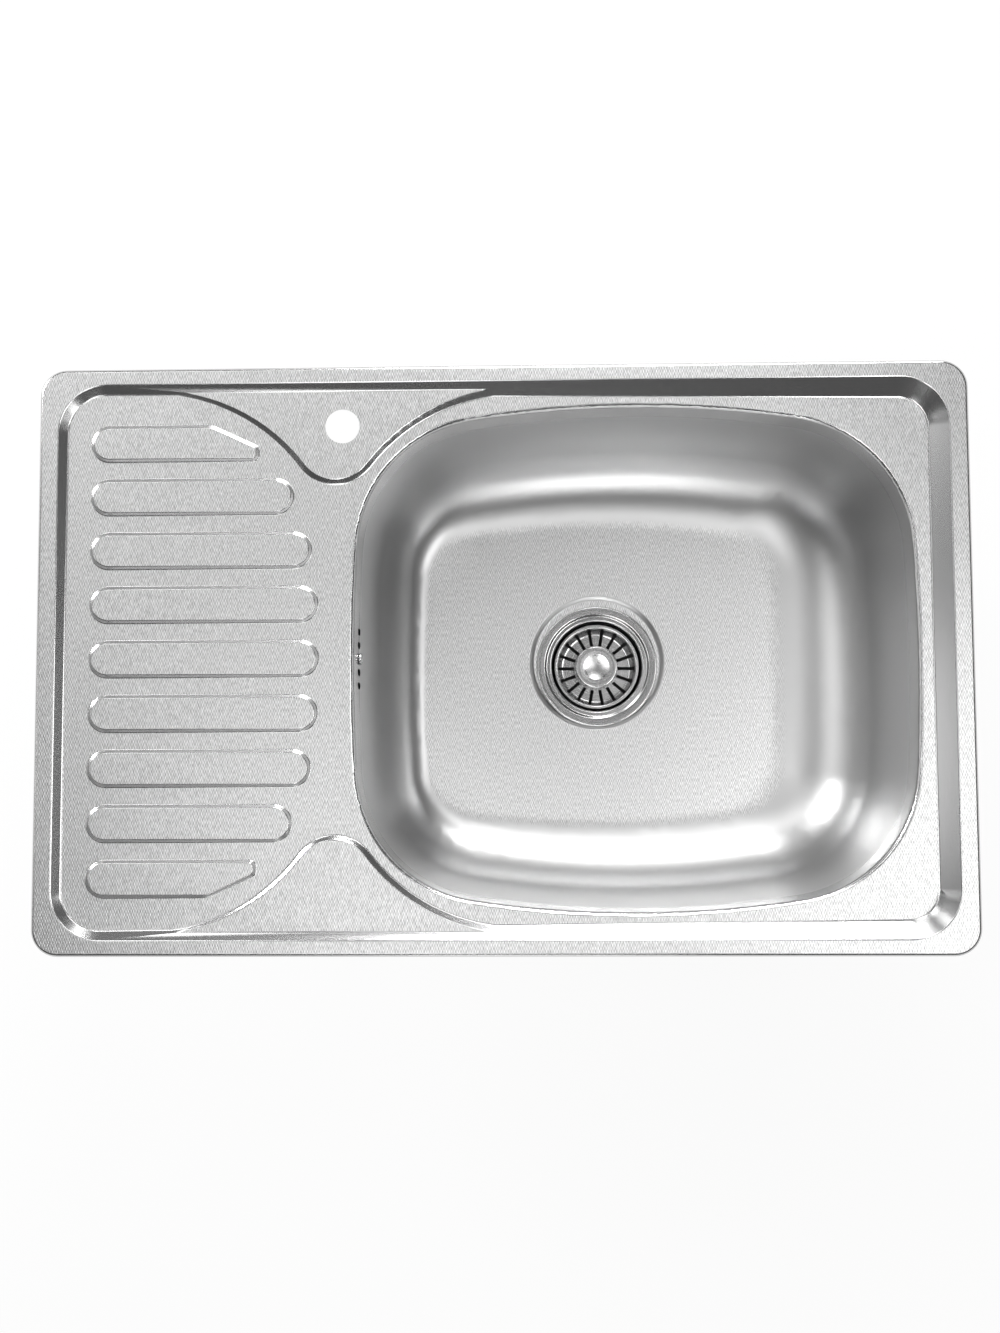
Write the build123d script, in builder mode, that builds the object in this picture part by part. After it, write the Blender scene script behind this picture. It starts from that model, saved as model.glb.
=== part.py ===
from build123d import *
from math import acos, atan, cos, degrees, hypot, radians, sin, sqrt, tan
import os

os.makedirs("parts", exist_ok=True)

# Inset kitchen sink: one pressed sheet with a ribbed drainer and a bowl, hung in a worktop
# by clips, with a basket strainer waste and an overflow. The worktop's upper face is z = 0.

# Sheet and rim
SHEET = 0.8
RIM_LENGTH = 760
RIM_WIDTH = 480
RIM_CORNER = 22
RIM_RISE = 6
RIM_BEND = 3
RIM_FLAT_END = 15.5
RIM_FLAT_SIDE = 13
SEAL_WIDTH = 8

# Recessed deck, which falls towards the bowl
RECESS_CORNER = 40
STEP_SLOPE = 32
STEP_BEND = 4
DECK_DROP_DRAINER = 4.5
DECK_DROP_BOWL = 9.8

# Half-height ledges, one for the tap and one facing it
LEDGE_DROP = 3.7
LEDGE_REACH = 74
LEDGE_BEND = 2.5
BULGE_RADIUS = 26
BULGE_TO_BOWL = 15.5
FLANK_RADIUS = 163
FLANK_OVERRUN = 1.5
TAP_HOLE_RADIUS = 14.2
TAP_FROM_BULGE = 6
TAP_FROM_STEP = 36

# Drainer ribs
RIB_PITCH = 44.5
RIB_WIDTH = 30
RIB_HEIGHT = 2.6
RIB_SLOPE = 50
RIB_TOP_BEND = 1.5
RIB_FOOT_BEND = 2
RIB_FROM_STEP = 27.5
RIB_SIDE_MARGIN = 33
RIB_TO_BOWL = 28.5
RIB_SWEEP = 50
RIB_NOSE = 12
RIB_NOSE_RADIUS = 5
RIB_SLANT = 25
RIB_SLANT_RADIUS = 20

# Bowl: eight arcs in plan, steep walls and a wide bend into the floor
BOWL_FROM_END = 27
BOWL_FROM_SIDE = 21
BOWL_LENGTH = 458
BOWL_END_RADIUS = 1590
BOWL_SIDE_RADIUS = 870
BOWL_CORNER_RADIUS = 110
BOWL_DEPTH = 186
BOWL_DRAFT = 5
BOWL_FLOOR_RADIUS = 64
BOWL_LEAN = 0.35
BOWL_BEND = 4
BOWL_SECTIONS = 18

# Drain in the bowl floor
DRAIN_Y = 10
DRAIN_RECESS_RADIUS = 61.6
DRAIN_RECESS_DROP = 3.5
DRAIN_RECESS_SLOPE = 45
DRAIN_BEND = 2.5
STRAINER_SHIFT = 3.4
FIT_GAP = 0.4
PLAY = 0.2

# Strainer cup and its seals
FLANGE_RADIUS = 55.5
FLANGE_RISE = 1.6
FLANGE_DISH = 0.2
FLANGE_EDGE = 0.4
SHOULDER_RADIUS = 48.2
SHOULDER_RUN = 2.2
SHOULDER_DROP = 1.1
SHOULDER_BEND = 2
THROAT_RADIUS = 41.6
THROAT_BEND = 1.5
CUP_SHEET = 1
CUP_DEPTH = 46
CUP_BEND = 5
SEAT_RADIUS = 19
HUB_RADIUS = 11
SPOKE_COUNT = 3
SPOKE_WIDTH = 6
TOP_GASKET = 1.5
LOWER_GASKET = 2.5
GASKET_WIDTH = 9

# Waste body under the bowl
WASTE_FLANGE = 4
WASTE_WALL = 3
WASTE_GAP = 3.4
FUNNEL_HEIGHT = 16
OUTLET_RADIUS = 23.9
OUTLET_BORE = 20
OUTLET_LENGTH = 30
BOSS_RADIUS = 13
BOSS_HEIGHT = 6
RIBS_IN_WASTE = 4
CLAMP_SCREW_RADIUS = 5
CLAMP_HEAD_RADIUS = 9
CLAMP_HEAD_HEIGHT = 5
CLAMP_BORE = 3.2
CLAMP_SLOT = 2
INSERT_HEIGHT = 8
INSERT_FLATS = 17

# Basket that lifts out of the strainer
BASKET_RADIUS = 38.8
BASKET_SHEET = 0.8
BASKET_LIP = 2.4
BASKET_DROP = 7.5
BASKET_HEIGHT = 24
BASKET_BEND = 6
BASKET_SLOTS = 18
BASKET_SLOT_WIDTH = 3
BASKET_SLOT_START = 20.4
BASKET_SLOT_RISE = 9
KNOB_RADIUS = 19.6
KNOB_HEIGHT = 5
KNOB_EDGE = 1.6
KNOB_DISH_RADIUS = 12.7
KNOB_DISH = 1.2
KNOB_BELOW_LIP = 1.5
STEM_RADIUS = 3.2
STEM_COLLAR = 6
STEM_COLLAR_HEIGHT = 1.5
STEM_SPIGOT = 2
PIN_RADIUS = 2.6
PIN_LENGTH = 22
CATCH_HEIGHT = 2
STOPPER_RADIUS = 23
STOPPER_NECK = 17
STOPPER_LIP = 3

# Overflow behind the slots in the bowl's drainer end
SLOT_COUNT = 5
SLOT_PITCH = 11.2
SLOT_WIDTH = 5.6
SLOT_HEIGHT = 13
SLOT_DROP = 33
OVERFLOW_Y = 1.5
OVERFLOW_MARGIN = 6
OVERFLOW_GASKET = 3
OVERFLOW_WALL = 2.5
OVERFLOW_FLANGE = 6
OVERFLOW_DEPTH = 34
SCREW_RADIUS = 2
SCREW_HEAD_RADIUS = 4.8
SCREW_HEAD_HEIGHT = 2.4
SCREW_LENGTH = 24
PIPE_RADIUS = 10
PIPE_WALL = 1.5
PIPE_BEND = 35
PIPE_IN_SOCKET = 14
SOCKET_WALL = 3.2
SOCKET_LENGTH = 20
SPIGOT_LENGTH = 28
SPIGOT_DROP = 22
NUT_GRIP = 12
NUT_WALL = 3.2
NUT_RIBS = 12
SEAL_HEIGHT = 3

# Sound pads glued under the bowl floor
PAD_LENGTH = 66
PAD_WIDTH = 160
PAD_THICKNESS = 3
PAD_FROM_DRAIN = 9

# Clips that pull the rim down onto the worktop
CLIP_FROM_END = 34.5
CLIP_FROM_BULGE = 41
CLIP_FROM_CORNER = 52.5
CLIP_FROM_STEP = 21.5
CLIP_FROM_CORNER_STEP = 28
HANGER_SHEET = 1.5
HANGER_WIDTH = 16
HANGER_SPAN = 22
HANGER_FOOT = 6
HANGER_DEPTH = 30
CLIP_SCREW_RADIUS = 2.9
CLIP_SCREW_END = 21
CLIP_NUT_HEIGHT = 5
CLIP_NUT_FLATS = 10
CLIP_HEAD_HEIGHT = 4.8
CLIP_COLLAR_RADIUS = 7
CLIP_COLLAR_HEIGHT = 1.5
CLAW_OPENING = 42
CLAW_REACH = 40
CLAW_HEEL = 10
CLAW_WIDTH = 16
CLAW_SHEET = 2.5
CLAW_TIP_RISE = 9
CLAW_HEEL_RISE = 4
CLAW_BEND = 1.5
CLAW_NOTCH = 5

# Places that follow from the sizes above
recess_x = RIM_LENGTH / 2 - RIM_FLAT_END
recess_y = RIM_WIDTH / 2 - RIM_FLAT_SIDE
step_taper = 90 - STEP_SLOPE
step_run = tan(radians(step_taper))
deck_fall = atan((DECK_DROP_BOWL - DECK_DROP_DRAINER) / (2 * recess_x))
deck_z = RIM_RISE - (DECK_DROP_DRAINER + DECK_DROP_BOWL) / 2
deck_plane = Plane(
    origin=(0, 0, deck_z),
    x_dir=(cos(deck_fall), 0, -sin(deck_fall)),
    z_dir=(sin(deck_fall), 0, cos(deck_fall)),
)

bowl_half_length = BOWL_LENGTH / 2
bowl_half_width = recess_y - BOWL_FROM_SIDE
bowl_x = recess_x - BOWL_FROM_END - bowl_half_length
bowl_left = bowl_x - bowl_half_length
floor_z = RIM_RISE - BOWL_DEPTH
draft = radians(BOWL_DRAFT)
wall_foot_z = floor_z + BOWL_FLOOR_RADIUS * (1 - sin(draft))
floor_inset = (deck_z - wall_foot_z) * tan(draft) + BOWL_FLOOR_RADIUS * cos(draft)
floor_x = bowl_x - BOWL_LEAN * floor_inset

bulge_x = bowl_left - BULGE_TO_BOWL
bulge_y = recess_y - LEDGE_REACH + BULGE_RADIUS
flank_y = recess_y + FLANK_OVERRUN - FLANK_RADIUS
flank_span = BULGE_RADIUS + FLANK_RADIUS
flank_x = sqrt(flank_span**2 - (bulge_y - flank_y) ** 2)
tap_x = bulge_x + TAP_FROM_BULGE
tap_y = recess_y - TAP_FROM_STEP

rib_left = -recess_x + RIB_FROM_STEP
rib_right = bowl_left - RIB_TO_BOWL
ribs_each_side = int((recess_y - RIB_SIDE_MARGIN) / RIB_PITCH)

drain_x = floor_x
strainer_y = DRAIN_Y - STRAINER_SHIFT
recess_floor_z = floor_z - DRAIN_RECESS_DROP
cup_radius = THROAT_RADIUS + CUP_SHEET
drain_hole_radius = cup_radius + STRAINER_SHIFT + FIT_GAP
flange_z = recess_floor_z + TOP_GASKET
cup_floor_z = flange_z - CUP_DEPTH
strainer_axis = Axis((drain_x, strainer_y, 0), (0, 0, 1))
strainer_section = Plane(origin=(drain_x, strainer_y, 0), x_dir=(1, 0, 0), z_dir=(0, -1, 0))

waste_top_z = recess_floor_z - SHEET - LOWER_GASKET
waste_bore = cup_radius + WASTE_GAP
waste_radius = waste_bore + WASTE_WALL
funnel_top_z = cup_floor_z - CUP_SHEET - WASTE_WALL
funnel_foot_z = funnel_top_z - FUNNEL_HEIGHT
boss_top_z = funnel_top_z - WASTE_WALL
boss_foot_z = boss_top_z - BOSS_HEIGHT

slot_z = RIM_RISE - SLOT_DROP
wall_slope = tan(draft) * (1 - BOWL_LEAN)
wall_x = bowl_left + (deck_z - slot_z) * wall_slope
housing_x = wall_x - SHEET - OVERFLOW_GASKET
cavity_width = (SLOT_COUNT - 1) * SLOT_PITCH + SLOT_WIDTH + 2 * OVERFLOW_MARGIN
cavity_height = SLOT_HEIGHT + 2 * OVERFLOW_MARGIN
housing_plane = Plane(origin=(housing_x, OVERFLOW_Y, slot_z), x_dir=(0, 1, 0), z_dir=(-1, 0, 0))
socket_bore = PIPE_RADIUS + FIT_GAP
socket_radius = socket_bore + SOCKET_WALL
pipe_x = housing_x - OVERFLOW_DEPTH + 2 * OVERFLOW_WALL + socket_bore
socket_top_z = slot_z - cavity_height / 2 - OVERFLOW_WALL
socket_end_z = socket_top_z - SOCKET_LENGTH
spigot_z = waste_top_z - SPIGOT_DROP
spigot_run = hypot(pipe_x - drain_x, OVERFLOW_Y - strainer_y)
spigot_way = ((pipe_x - drain_x) / spigot_run, (OVERFLOW_Y - strainer_y) / spigot_run, 0)
spigot_plane = Plane(origin=(drain_x, strainer_y, spigot_z), z_dir=spigot_way)
spigot_end = waste_radius + SPIGOT_LENGTH

clip_places = []
for side in (1, -1):
    end_x = CLIP_FROM_END - recess_x
    end_top = deck_z - SHEET - end_x * tan(deck_fall)
    clip_places.append((end_x, side * (recess_y - CLIP_FROM_STEP), end_top))
    ledge_top = RIM_RISE - LEDGE_DROP - SHEET
    clip_places.append((bulge_x + CLIP_FROM_BULGE, side * (recess_y - CLIP_FROM_STEP), ledge_top))
    corner_x = recess_x - CLIP_FROM_CORNER
    corner_top = deck_z - SHEET - corner_x * tan(deck_fall)
    clip_places.append((corner_x, side * (recess_y - CLIP_FROM_CORNER_STEP), corner_top))
claw_z = -CLAW_OPENING - CLAW_TIP_RISE - CLAW_SHEET
collar_z = claw_z - PLAY


def bend_shift(sheet, angle):
    """How far a bend line of the sheet's lower face lies outside the upper face's bend line."""
    return sheet * tan(radians(angle) / 2)


def ledge_block(side, top, grow, bend):
    """Solid under a ledge, back for side 1 and front for side -1, with its S-shaped lip rounded."""
    flank_r = FLANK_RADIUS + grow - LEDGE_DROP * step_run
    bulge_r = BULGE_RADIUS - grow + LEDGE_DROP * step_run
    meet_x = flank_x * bulge_r / flank_span
    meet_y = side * (bulge_y - (bulge_y - flank_y) * bulge_r / flank_span)
    tip_y = side * (flank_y + flank_r)
    back_y = side * RIM_WIDTH / 2
    with BuildPart() as block:
        with BuildSketch(Plane.XY.offset(top - LEDGE_DROP)):
            with BuildLine():
                TangentArc((bulge_x - flank_x, tip_y), (bulge_x - meet_x, meet_y), tangent=(1, 0))
                ThreePointArc(
                    (bulge_x - meet_x, meet_y),
                    (bulge_x, side * (bulge_y - bulge_r)),
                    (bulge_x + meet_x, meet_y),
                )
                TangentArc((bulge_x + flank_x, tip_y), (bulge_x + meet_x, meet_y), tangent=(-1, 0))
                Polyline(
                    (bulge_x + flank_x, tip_y),
                    (bulge_x + flank_x, back_y),
                    (bulge_x - flank_x, back_y),
                    (bulge_x - flank_x, tip_y),
                )
            make_face()
        extrude(amount=-DECK_DROP_BOWL, taper=-step_taper)
        lip = block.faces().sort_by(Axis.Z)[-1].edges().filter_by(GeomType.CIRCLE)
        fillet(lip, bend)
    return block.part


def rib_end(y):
    """Bowl end of the rib at y: the outer ribs are shorter, to follow the ledges."""
    return rib_right - RIB_SWEEP * abs(y / (RIB_PITCH * ribs_each_side)) ** 3


def rib_outline(plane, y, grow):
    """Foot of one rib: a slot with round ends."""
    length = rib_end(y) - rib_left
    with BuildSketch(plane) as outline:
        with Locations((rib_left + length / 2, y)):
            SlotOverall(length, RIB_WIDTH)
        offset(amount=grow)
    return outline.sketch


def slanted_rib_outline(plane, side, grow):
    """Foot of an outermost rib: its outer corner is cut off along the ledge's flank."""
    y = side * RIB_PITCH * ribs_each_side
    near = y - side * RIB_WIDTH / 2
    far = y + side * RIB_WIDTH / 2
    right = rib_end(y)
    slant_x = right - (RIB_WIDTH - RIB_NOSE) / tan(radians(RIB_SLANT))
    with BuildSketch(plane) as outline:
        with BuildLine():
            Polyline(
                (rib_left, near),
                (right, near),
                (right, near + side * RIB_NOSE),
                (slant_x, far),
                (rib_left, far),
                close=True,
            )
        make_face()
        fillet(outline.vertices().sort_by(Axis.X)[-2:], RIB_NOSE_RADIUS)
        fillet(outline.vertices().sort_by(Axis.X)[2], RIB_SLANT_RADIUS)
        fillet(outline.vertices().sort_by(Axis.X)[:2], RIB_WIDTH / 2 - PLAY)
        offset(amount=grow)
    return outline.sketch


def raised_ribs(deck, sheet):
    """The ribs as solids standing on the deck, each rounded along its top."""
    root = RIB_HEIGHT
    grow = root / tan(radians(RIB_SLOPE)) - bend_shift(sheet, RIB_SLOPE)
    foot = deck.offset(-root)
    outlines = []
    for k in range(1 - ribs_each_side, ribs_each_side):
        outlines.append(rib_outline(foot, k * RIB_PITCH, grow))
    for side in (1, -1):
        outlines.append(slanted_rib_outline(foot, side, grow))
    ribs = []
    for outline in outlines:
        with BuildPart() as raised:
            extrude(outline, amount=root + RIB_HEIGHT, taper=90 - RIB_SLOPE)
            fillet(raised.faces().sort_by(Axis.Z)[-1].edges(), RIB_TOP_BEND - sheet)
        ribs.append(raised.part)
    return ribs


def bowl_outline(z, inset):
    """Bowl section at height z, drawn in by inset: four bulged sides joined by corner arcs."""
    end_x = bowl_half_length - BOWL_END_RADIUS
    side_y = bowl_half_width - BOWL_SIDE_RADIUS
    end_reach = BOWL_END_RADIUS - BOWL_CORNER_RADIUS
    side_reach = BOWL_SIDE_RADIUS - BOWL_CORNER_RADIUS
    span = hypot(end_x, side_y)
    turn = acos((end_reach**2 + span**2 - side_reach**2) / (2 * end_reach * span))
    end_angle = degrees(turn) - degrees(atan(side_y / end_x))
    corner_x = end_x + end_reach * cos(radians(end_angle))
    corner_y = end_reach * sin(radians(end_angle))
    side_angle = degrees(acos(corner_x / side_reach))
    corner_turn = side_angle - end_angle
    middle = bowl_x - BOWL_LEAN * inset
    end_r = BOWL_END_RADIUS - inset
    side_r = BOWL_SIDE_RADIUS - inset
    corner_r = BOWL_CORNER_RADIUS - inset
    with BuildSketch(Plane.XY.offset(z)) as outline:
        with BuildLine():
            CenterArc((middle + end_x, 0), end_r, -end_angle, 2 * end_angle)
            CenterArc((middle + corner_x, corner_y), corner_r, end_angle, corner_turn)
            CenterArc((middle, side_y), side_r, side_angle, 180 - 2 * side_angle)
            CenterArc((middle - corner_x, corner_y), corner_r, 180 - side_angle, corner_turn)
            CenterArc((middle - end_x, 0), end_r, 180 - end_angle, 2 * end_angle)
            CenterArc((middle - corner_x, -corner_y), corner_r, 180 + end_angle, corner_turn)
            CenterArc((middle, -side_y), side_r, 180 + side_angle, 180 - 2 * side_angle)
            CenterArc((middle + corner_x, -corner_y), corner_r, -side_angle, corner_turn)
        make_face()
    return outline.sketch


def bowl_space(sheet):
    """Inside of the bowl, grown by the sheet: sections evenly spaced down the wall and its bend."""
    bend_r = BOWL_FLOOR_RADIUS + sheet
    foot_z = floor_z - sheet + bend_r * (1 - sin(draft))
    top_z = RIM_RISE - DECK_DROP_DRAINER / 2
    wall_run = (top_z - foot_z) / cos(draft)
    bend_run = bend_r * (radians(90) - draft)
    sections = []
    for k in range(BOWL_SECTIONS + 1):
        run = (wall_run + bend_run) * k / BOWL_SECTIONS
        turn = draft + max(run - wall_run, 0) / bend_r
        z = top_z - min(run, wall_run) * cos(draft) - bend_r * (sin(turn) - sin(draft))
        inset = (deck_z - max(z, foot_z)) * tan(draft) - sheet / cos(draft)
        inset += bend_r * (cos(draft) - cos(turn))
        sections.append(bowl_outline(z, inset))
    with BuildPart() as space:
        loft(sections)
    return space.part


def space_above(sheet, collar):
    """Everything above the sheet's upper face (sheet 0) or above its lower face (sheet SHEET)."""
    top = RIM_RISE - sheet
    deck = deck_plane.offset(-sheet)
    grow = bend_shift(sheet, STEP_SLOPE)
    with BuildPart() as space:
        with BuildSketch(Plane.XY.offset(top)) as outline:
            RectangleRounded(2 * (recess_x + grow), 2 * (recess_y + grow), RECESS_CORNER + grow)
        extrude(amount=-DECK_DROP_BOWL - STEP_BEND, taper=step_taper)
        split(bisect_by=deck, keep=Keep.TOP)
        extrude(outline.sketch, amount=collar)
        for side in (1, -1):
            add(ledge_block(side, top, grow, LEDGE_BEND - sheet), mode=Mode.SUBTRACT)
        fillet(space.faces().sort_by(Axis.Z)[0].edges(), STEP_BEND + sheet)
        add(raised_ribs(deck, sheet), mode=Mode.SUBTRACT)
        fillet(space.edges(Select.NEW), RIB_FOOT_BEND + sheet)
        add(bowl_space(sheet))
        fillet(space.edges(Select.NEW), BOWL_BEND - sheet)
        with BuildSketch(Plane.XY.offset(floor_z - sheet)):
            with Locations((drain_x, DRAIN_Y)):
                Circle(DRAIN_RECESS_RADIUS + bend_shift(sheet, DRAIN_RECESS_SLOPE))
        extrude(amount=-DRAIN_RECESS_DROP, taper=90 - DRAIN_RECESS_SLOPE)
        fillet(space.faces().sort_by(Axis.Z)[0].edges(), DRAIN_BEND + sheet)
        drain_edge = space.faces().sort_by(Axis.Z).filter_by(GeomType.PLANE)[1].inner_wires()[0].edges()
        fillet(drain_edge, DRAIN_BEND - sheet)
    return space.part


# Pressed sheet: rim with a turned-down edge, recess, ledges, ribs, bowl and drain recess
with BuildPart() as rim_hollow:
    with BuildSketch(Plane.XY.offset(-SHEET)):
        RectangleRounded(RIM_LENGTH - 2 * SHEET, RIM_WIDTH - 2 * SHEET, RIM_CORNER - SHEET)
    extrude(amount=RIM_RISE)
    fillet(rim_hollow.faces().sort_by(Axis.Z)[-1].edges(), RIM_BEND - SHEET)

over_sheet = space_above(0, SHEET)
under_sheet = space_above(SHEET, SHEET / 2)

with BuildPart() as sink_shell:
    with BuildSketch(Plane.XY):
        RectangleRounded(RIM_LENGTH, RIM_WIDTH, RIM_CORNER)
    extrude(amount=RIM_RISE)
    fillet(sink_shell.faces().sort_by(Axis.Z)[-1].edges(), RIM_BEND)
    add(rim_hollow.part, mode=Mode.SUBTRACT)
    add(under_sheet)
    add(over_sheet, mode=Mode.SUBTRACT)
    fillet(sink_shell.faces().sort_by(Axis.Z)[-1].inner_wires()[0].edges(), RIM_BEND)
    with BuildSketch(Plane.XY.offset(recess_floor_z)):
        with Locations((drain_x, DRAIN_Y)):
            Circle(drain_hole_radius)
    extrude(amount=SHEET, both=True, mode=Mode.SUBTRACT)
    with BuildSketch(Plane.XY.offset(RIM_RISE - LEDGE_DROP)):
        with Locations((tap_x, tap_y)):
            Circle(TAP_HOLE_RADIUS)
    extrude(amount=2 * SHEET, both=True, mode=Mode.SUBTRACT)
    with BuildSketch(Plane.YZ.offset(wall_x)):
        with Locations((OVERFLOW_Y, slot_z)):
            with GridLocations(SLOT_PITCH, 0, SLOT_COUNT, 1):
                SlotOverall(SLOT_HEIGHT, SLOT_WIDTH, rotation=90)
    extrude(amount=3 * SHEET, both=True, mode=Mode.SUBTRACT)
sink_shell.part.label = "sink_shell"
export_step(sink_shell.part, "parts/sink_shell.step")

# Foam strip between the rim and the worktop
with BuildPart() as rim_seal:
    inset = RIM_BEND + PLAY
    with BuildSketch(Plane.XY):
        RectangleRounded(RIM_LENGTH - 2 * inset, RIM_WIDTH - 2 * inset, RIM_CORNER - inset)
        hole = inset + SEAL_WIDTH
        RectangleRounded(
            RIM_LENGTH - 2 * hole, RIM_WIDTH - 2 * hole, RIM_CORNER - hole, mode=Mode.SUBTRACT
        )
    extrude(amount=RIM_RISE - SHEET)
rim_seal.part.label = "rim_seal"
export_step(rim_seal.part, "parts/rim_seal.step")

# Sound pads glued under the bowl floor, one each side of the drain
with BuildPart() as sound_pads:
    reach = DRAIN_RECESS_RADIUS + PAD_FROM_DRAIN + PAD_LENGTH / 2
    with BuildSketch(Plane.XY.offset(floor_z - SHEET)):
        with Locations((drain_x - reach, 0), (drain_x + reach, 0)):
            RectangleRounded(PAD_LENGTH, PAD_WIDTH, PAD_THICKNESS)
    extrude(amount=-PAD_THICKNESS)
sound_pads.part.label = "sound_pads"
export_step(sound_pads.part, "parts/sound_pads.step")

# Hangers spot-welded under the deck: hat-shaped straps whose feet are cut to the sheet
with BuildPart() as clip_hangers:
    for x, y, top in clip_places:
        half = HANGER_SPAN / 2
        foot = half + HANGER_FOOT
        with BuildSketch(Plane(origin=(x, y, 0), x_dir=(1, 0, 0), z_dir=(0, -1, 0))) as strap:
            with BuildLine():
                Polyline(
                    (foot, top + SHEET),
                    (foot, top - HANGER_SHEET),
                    (half, top - HANGER_SHEET),
                    (half, -HANGER_DEPTH),
                    (-half, -HANGER_DEPTH),
                    (-half, top - HANGER_SHEET),
                    (-foot, top - HANGER_SHEET),
                    (-foot, top + SHEET),
                    (HANGER_SHEET - half, top + SHEET),
                    (HANGER_SHEET - half, HANGER_SHEET - HANGER_DEPTH),
                    (half - HANGER_SHEET, HANGER_SHEET - HANGER_DEPTH),
                    (half - HANGER_SHEET, top + SHEET),
                    close=True,
                )
            make_face()
            fillet(strap.vertices().group_by(Axis.Y)[1], HANGER_SHEET)
            fillet(strap.vertices().group_by(Axis.Y)[0], 2 * HANGER_SHEET)
        extrude(amount=HANGER_WIDTH / 2, both=True)
    with BuildSketch(Plane.XY.offset(-HANGER_DEPTH)):
        with Locations([(x, y) for x, y, top in clip_places]):
            Circle(CLIP_SCREW_RADIUS + FIT_GAP)
    extrude(amount=HANGER_SHEET, mode=Mode.SUBTRACT)
    add(under_sheet, mode=Mode.SUBTRACT)
clip_hangers.part.label = "clip_hangers"
export_step(clip_hangers.part, "parts/clip_hangers.step")

# Weld nuts on the hangers
with BuildPart() as clip_nuts:
    with BuildSketch(Plane.XY.offset(HANGER_SHEET - HANGER_DEPTH)):
        with Locations([(x, y) for x, y, top in clip_places]):
            RegularPolygon(CLIP_NUT_FLATS / 2, 6, major_radius=False)
            Circle(CLIP_SCREW_RADIUS + PLAY, mode=Mode.SUBTRACT)
    extrude(amount=CLIP_NUT_HEIGHT)
clip_nuts.part.label = "clip_nuts"
export_step(clip_nuts.part, "parts/clip_nuts.step")

# Clip screws, head down under the claw
for number, (x, y, top) in enumerate(clip_places, 1):
    with BuildPart() as clip_screw:
        with BuildSketch(Plane(origin=(x, y, collar_z))):
            Circle(CLIP_SCREW_RADIUS)
        extrude(amount=-CLIP_SCREW_END - collar_z)
        chamfer(clip_screw.faces().sort_by(Axis.Z)[-1].edges(), CLIP_SCREW_RADIUS / 4)
        with BuildSketch(Plane(origin=(x, y, collar_z))):
            Circle(CLIP_COLLAR_RADIUS)
        extrude(amount=-CLIP_COLLAR_HEIGHT)
        with BuildSketch(Plane(origin=(x, y, collar_z - CLIP_COLLAR_HEIGHT))):
            RegularPolygon(CLIP_NUT_FLATS / 2, 6, major_radius=False)
        extrude(amount=-CLIP_HEAD_HEIGHT)
    clip_screw.part.label = f"clip_screw_{number}"
    export_step(clip_screw.part, f"parts/clip_screw_{number}.step")

# Claws: bent strips that swing out under the worktop, here folded in along the edge
for number, (x, y, top) in enumerate(clip_places, 1):
    with BuildPart() as clip_claw:
        with BuildSketch(Plane(origin=(x, y, claw_z), x_dir=(1, 0, 0), z_dir=(0, -1, 0))) as strip:
            with BuildLine():
                Polyline(
                    (-CLAW_HEEL, 0),
                    (CLAW_REACH, 0),
                    (CLAW_REACH, CLAW_SHEET + CLAW_TIP_RISE),
                    (CLAW_REACH - CLAW_SHEET, CLAW_SHEET + CLAW_TIP_RISE),
                    (CLAW_REACH - CLAW_SHEET, CLAW_SHEET),
                    (CLAW_SHEET - CLAW_HEEL, CLAW_SHEET),
                    (CLAW_SHEET - CLAW_HEEL, CLAW_SHEET + CLAW_HEEL_RISE),
                    (-CLAW_HEEL, CLAW_SHEET + CLAW_HEEL_RISE),
                    close=True,
                )
            make_face()
            fillet(strip.vertices().group_by(Axis.Y)[1], CLAW_BEND)
            fillet(strip.vertices().group_by(Axis.Y)[0], CLAW_BEND + CLAW_SHEET)
        extrude(amount=CLAW_WIDTH / 2, both=True)
        with BuildSketch(Plane(origin=(x, y, claw_z))):
            Circle(CLIP_SCREW_RADIUS + FIT_GAP)
        extrude(amount=CLAW_SHEET, mode=Mode.SUBTRACT)
        with BuildSketch(Plane(origin=(x, y, -CLAW_OPENING), x_dir=(0, 1, 0), z_dir=(1, 0, 0))):
            with BuildLine():
                Polyline((CLAW_NOTCH, 0), (-CLAW_NOTCH, 0), (0, -CLAW_NOTCH), close=True)
            make_face()
        extrude(amount=CLAW_REACH, mode=Mode.SUBTRACT)
    clip_claw.part.label = f"clip_claw_{number}"
    export_step(clip_claw.part, f"parts/clip_claw_{number}.step")

# Rubber ring between the strainer flange and the drain recess
with BuildPart() as strainer_gasket:
    with BuildSketch(Plane(origin=(drain_x, strainer_y, recess_floor_z))):
        Circle(cup_radius + PLAY + GASKET_WIDTH)
        Circle(cup_radius + PLAY, mode=Mode.SUBTRACT)
    extrude(amount=TOP_GASKET)
strainer_gasket.part.label = "strainer_gasket"
export_step(strainer_gasket.part, "parts/strainer_gasket.step")

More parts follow.
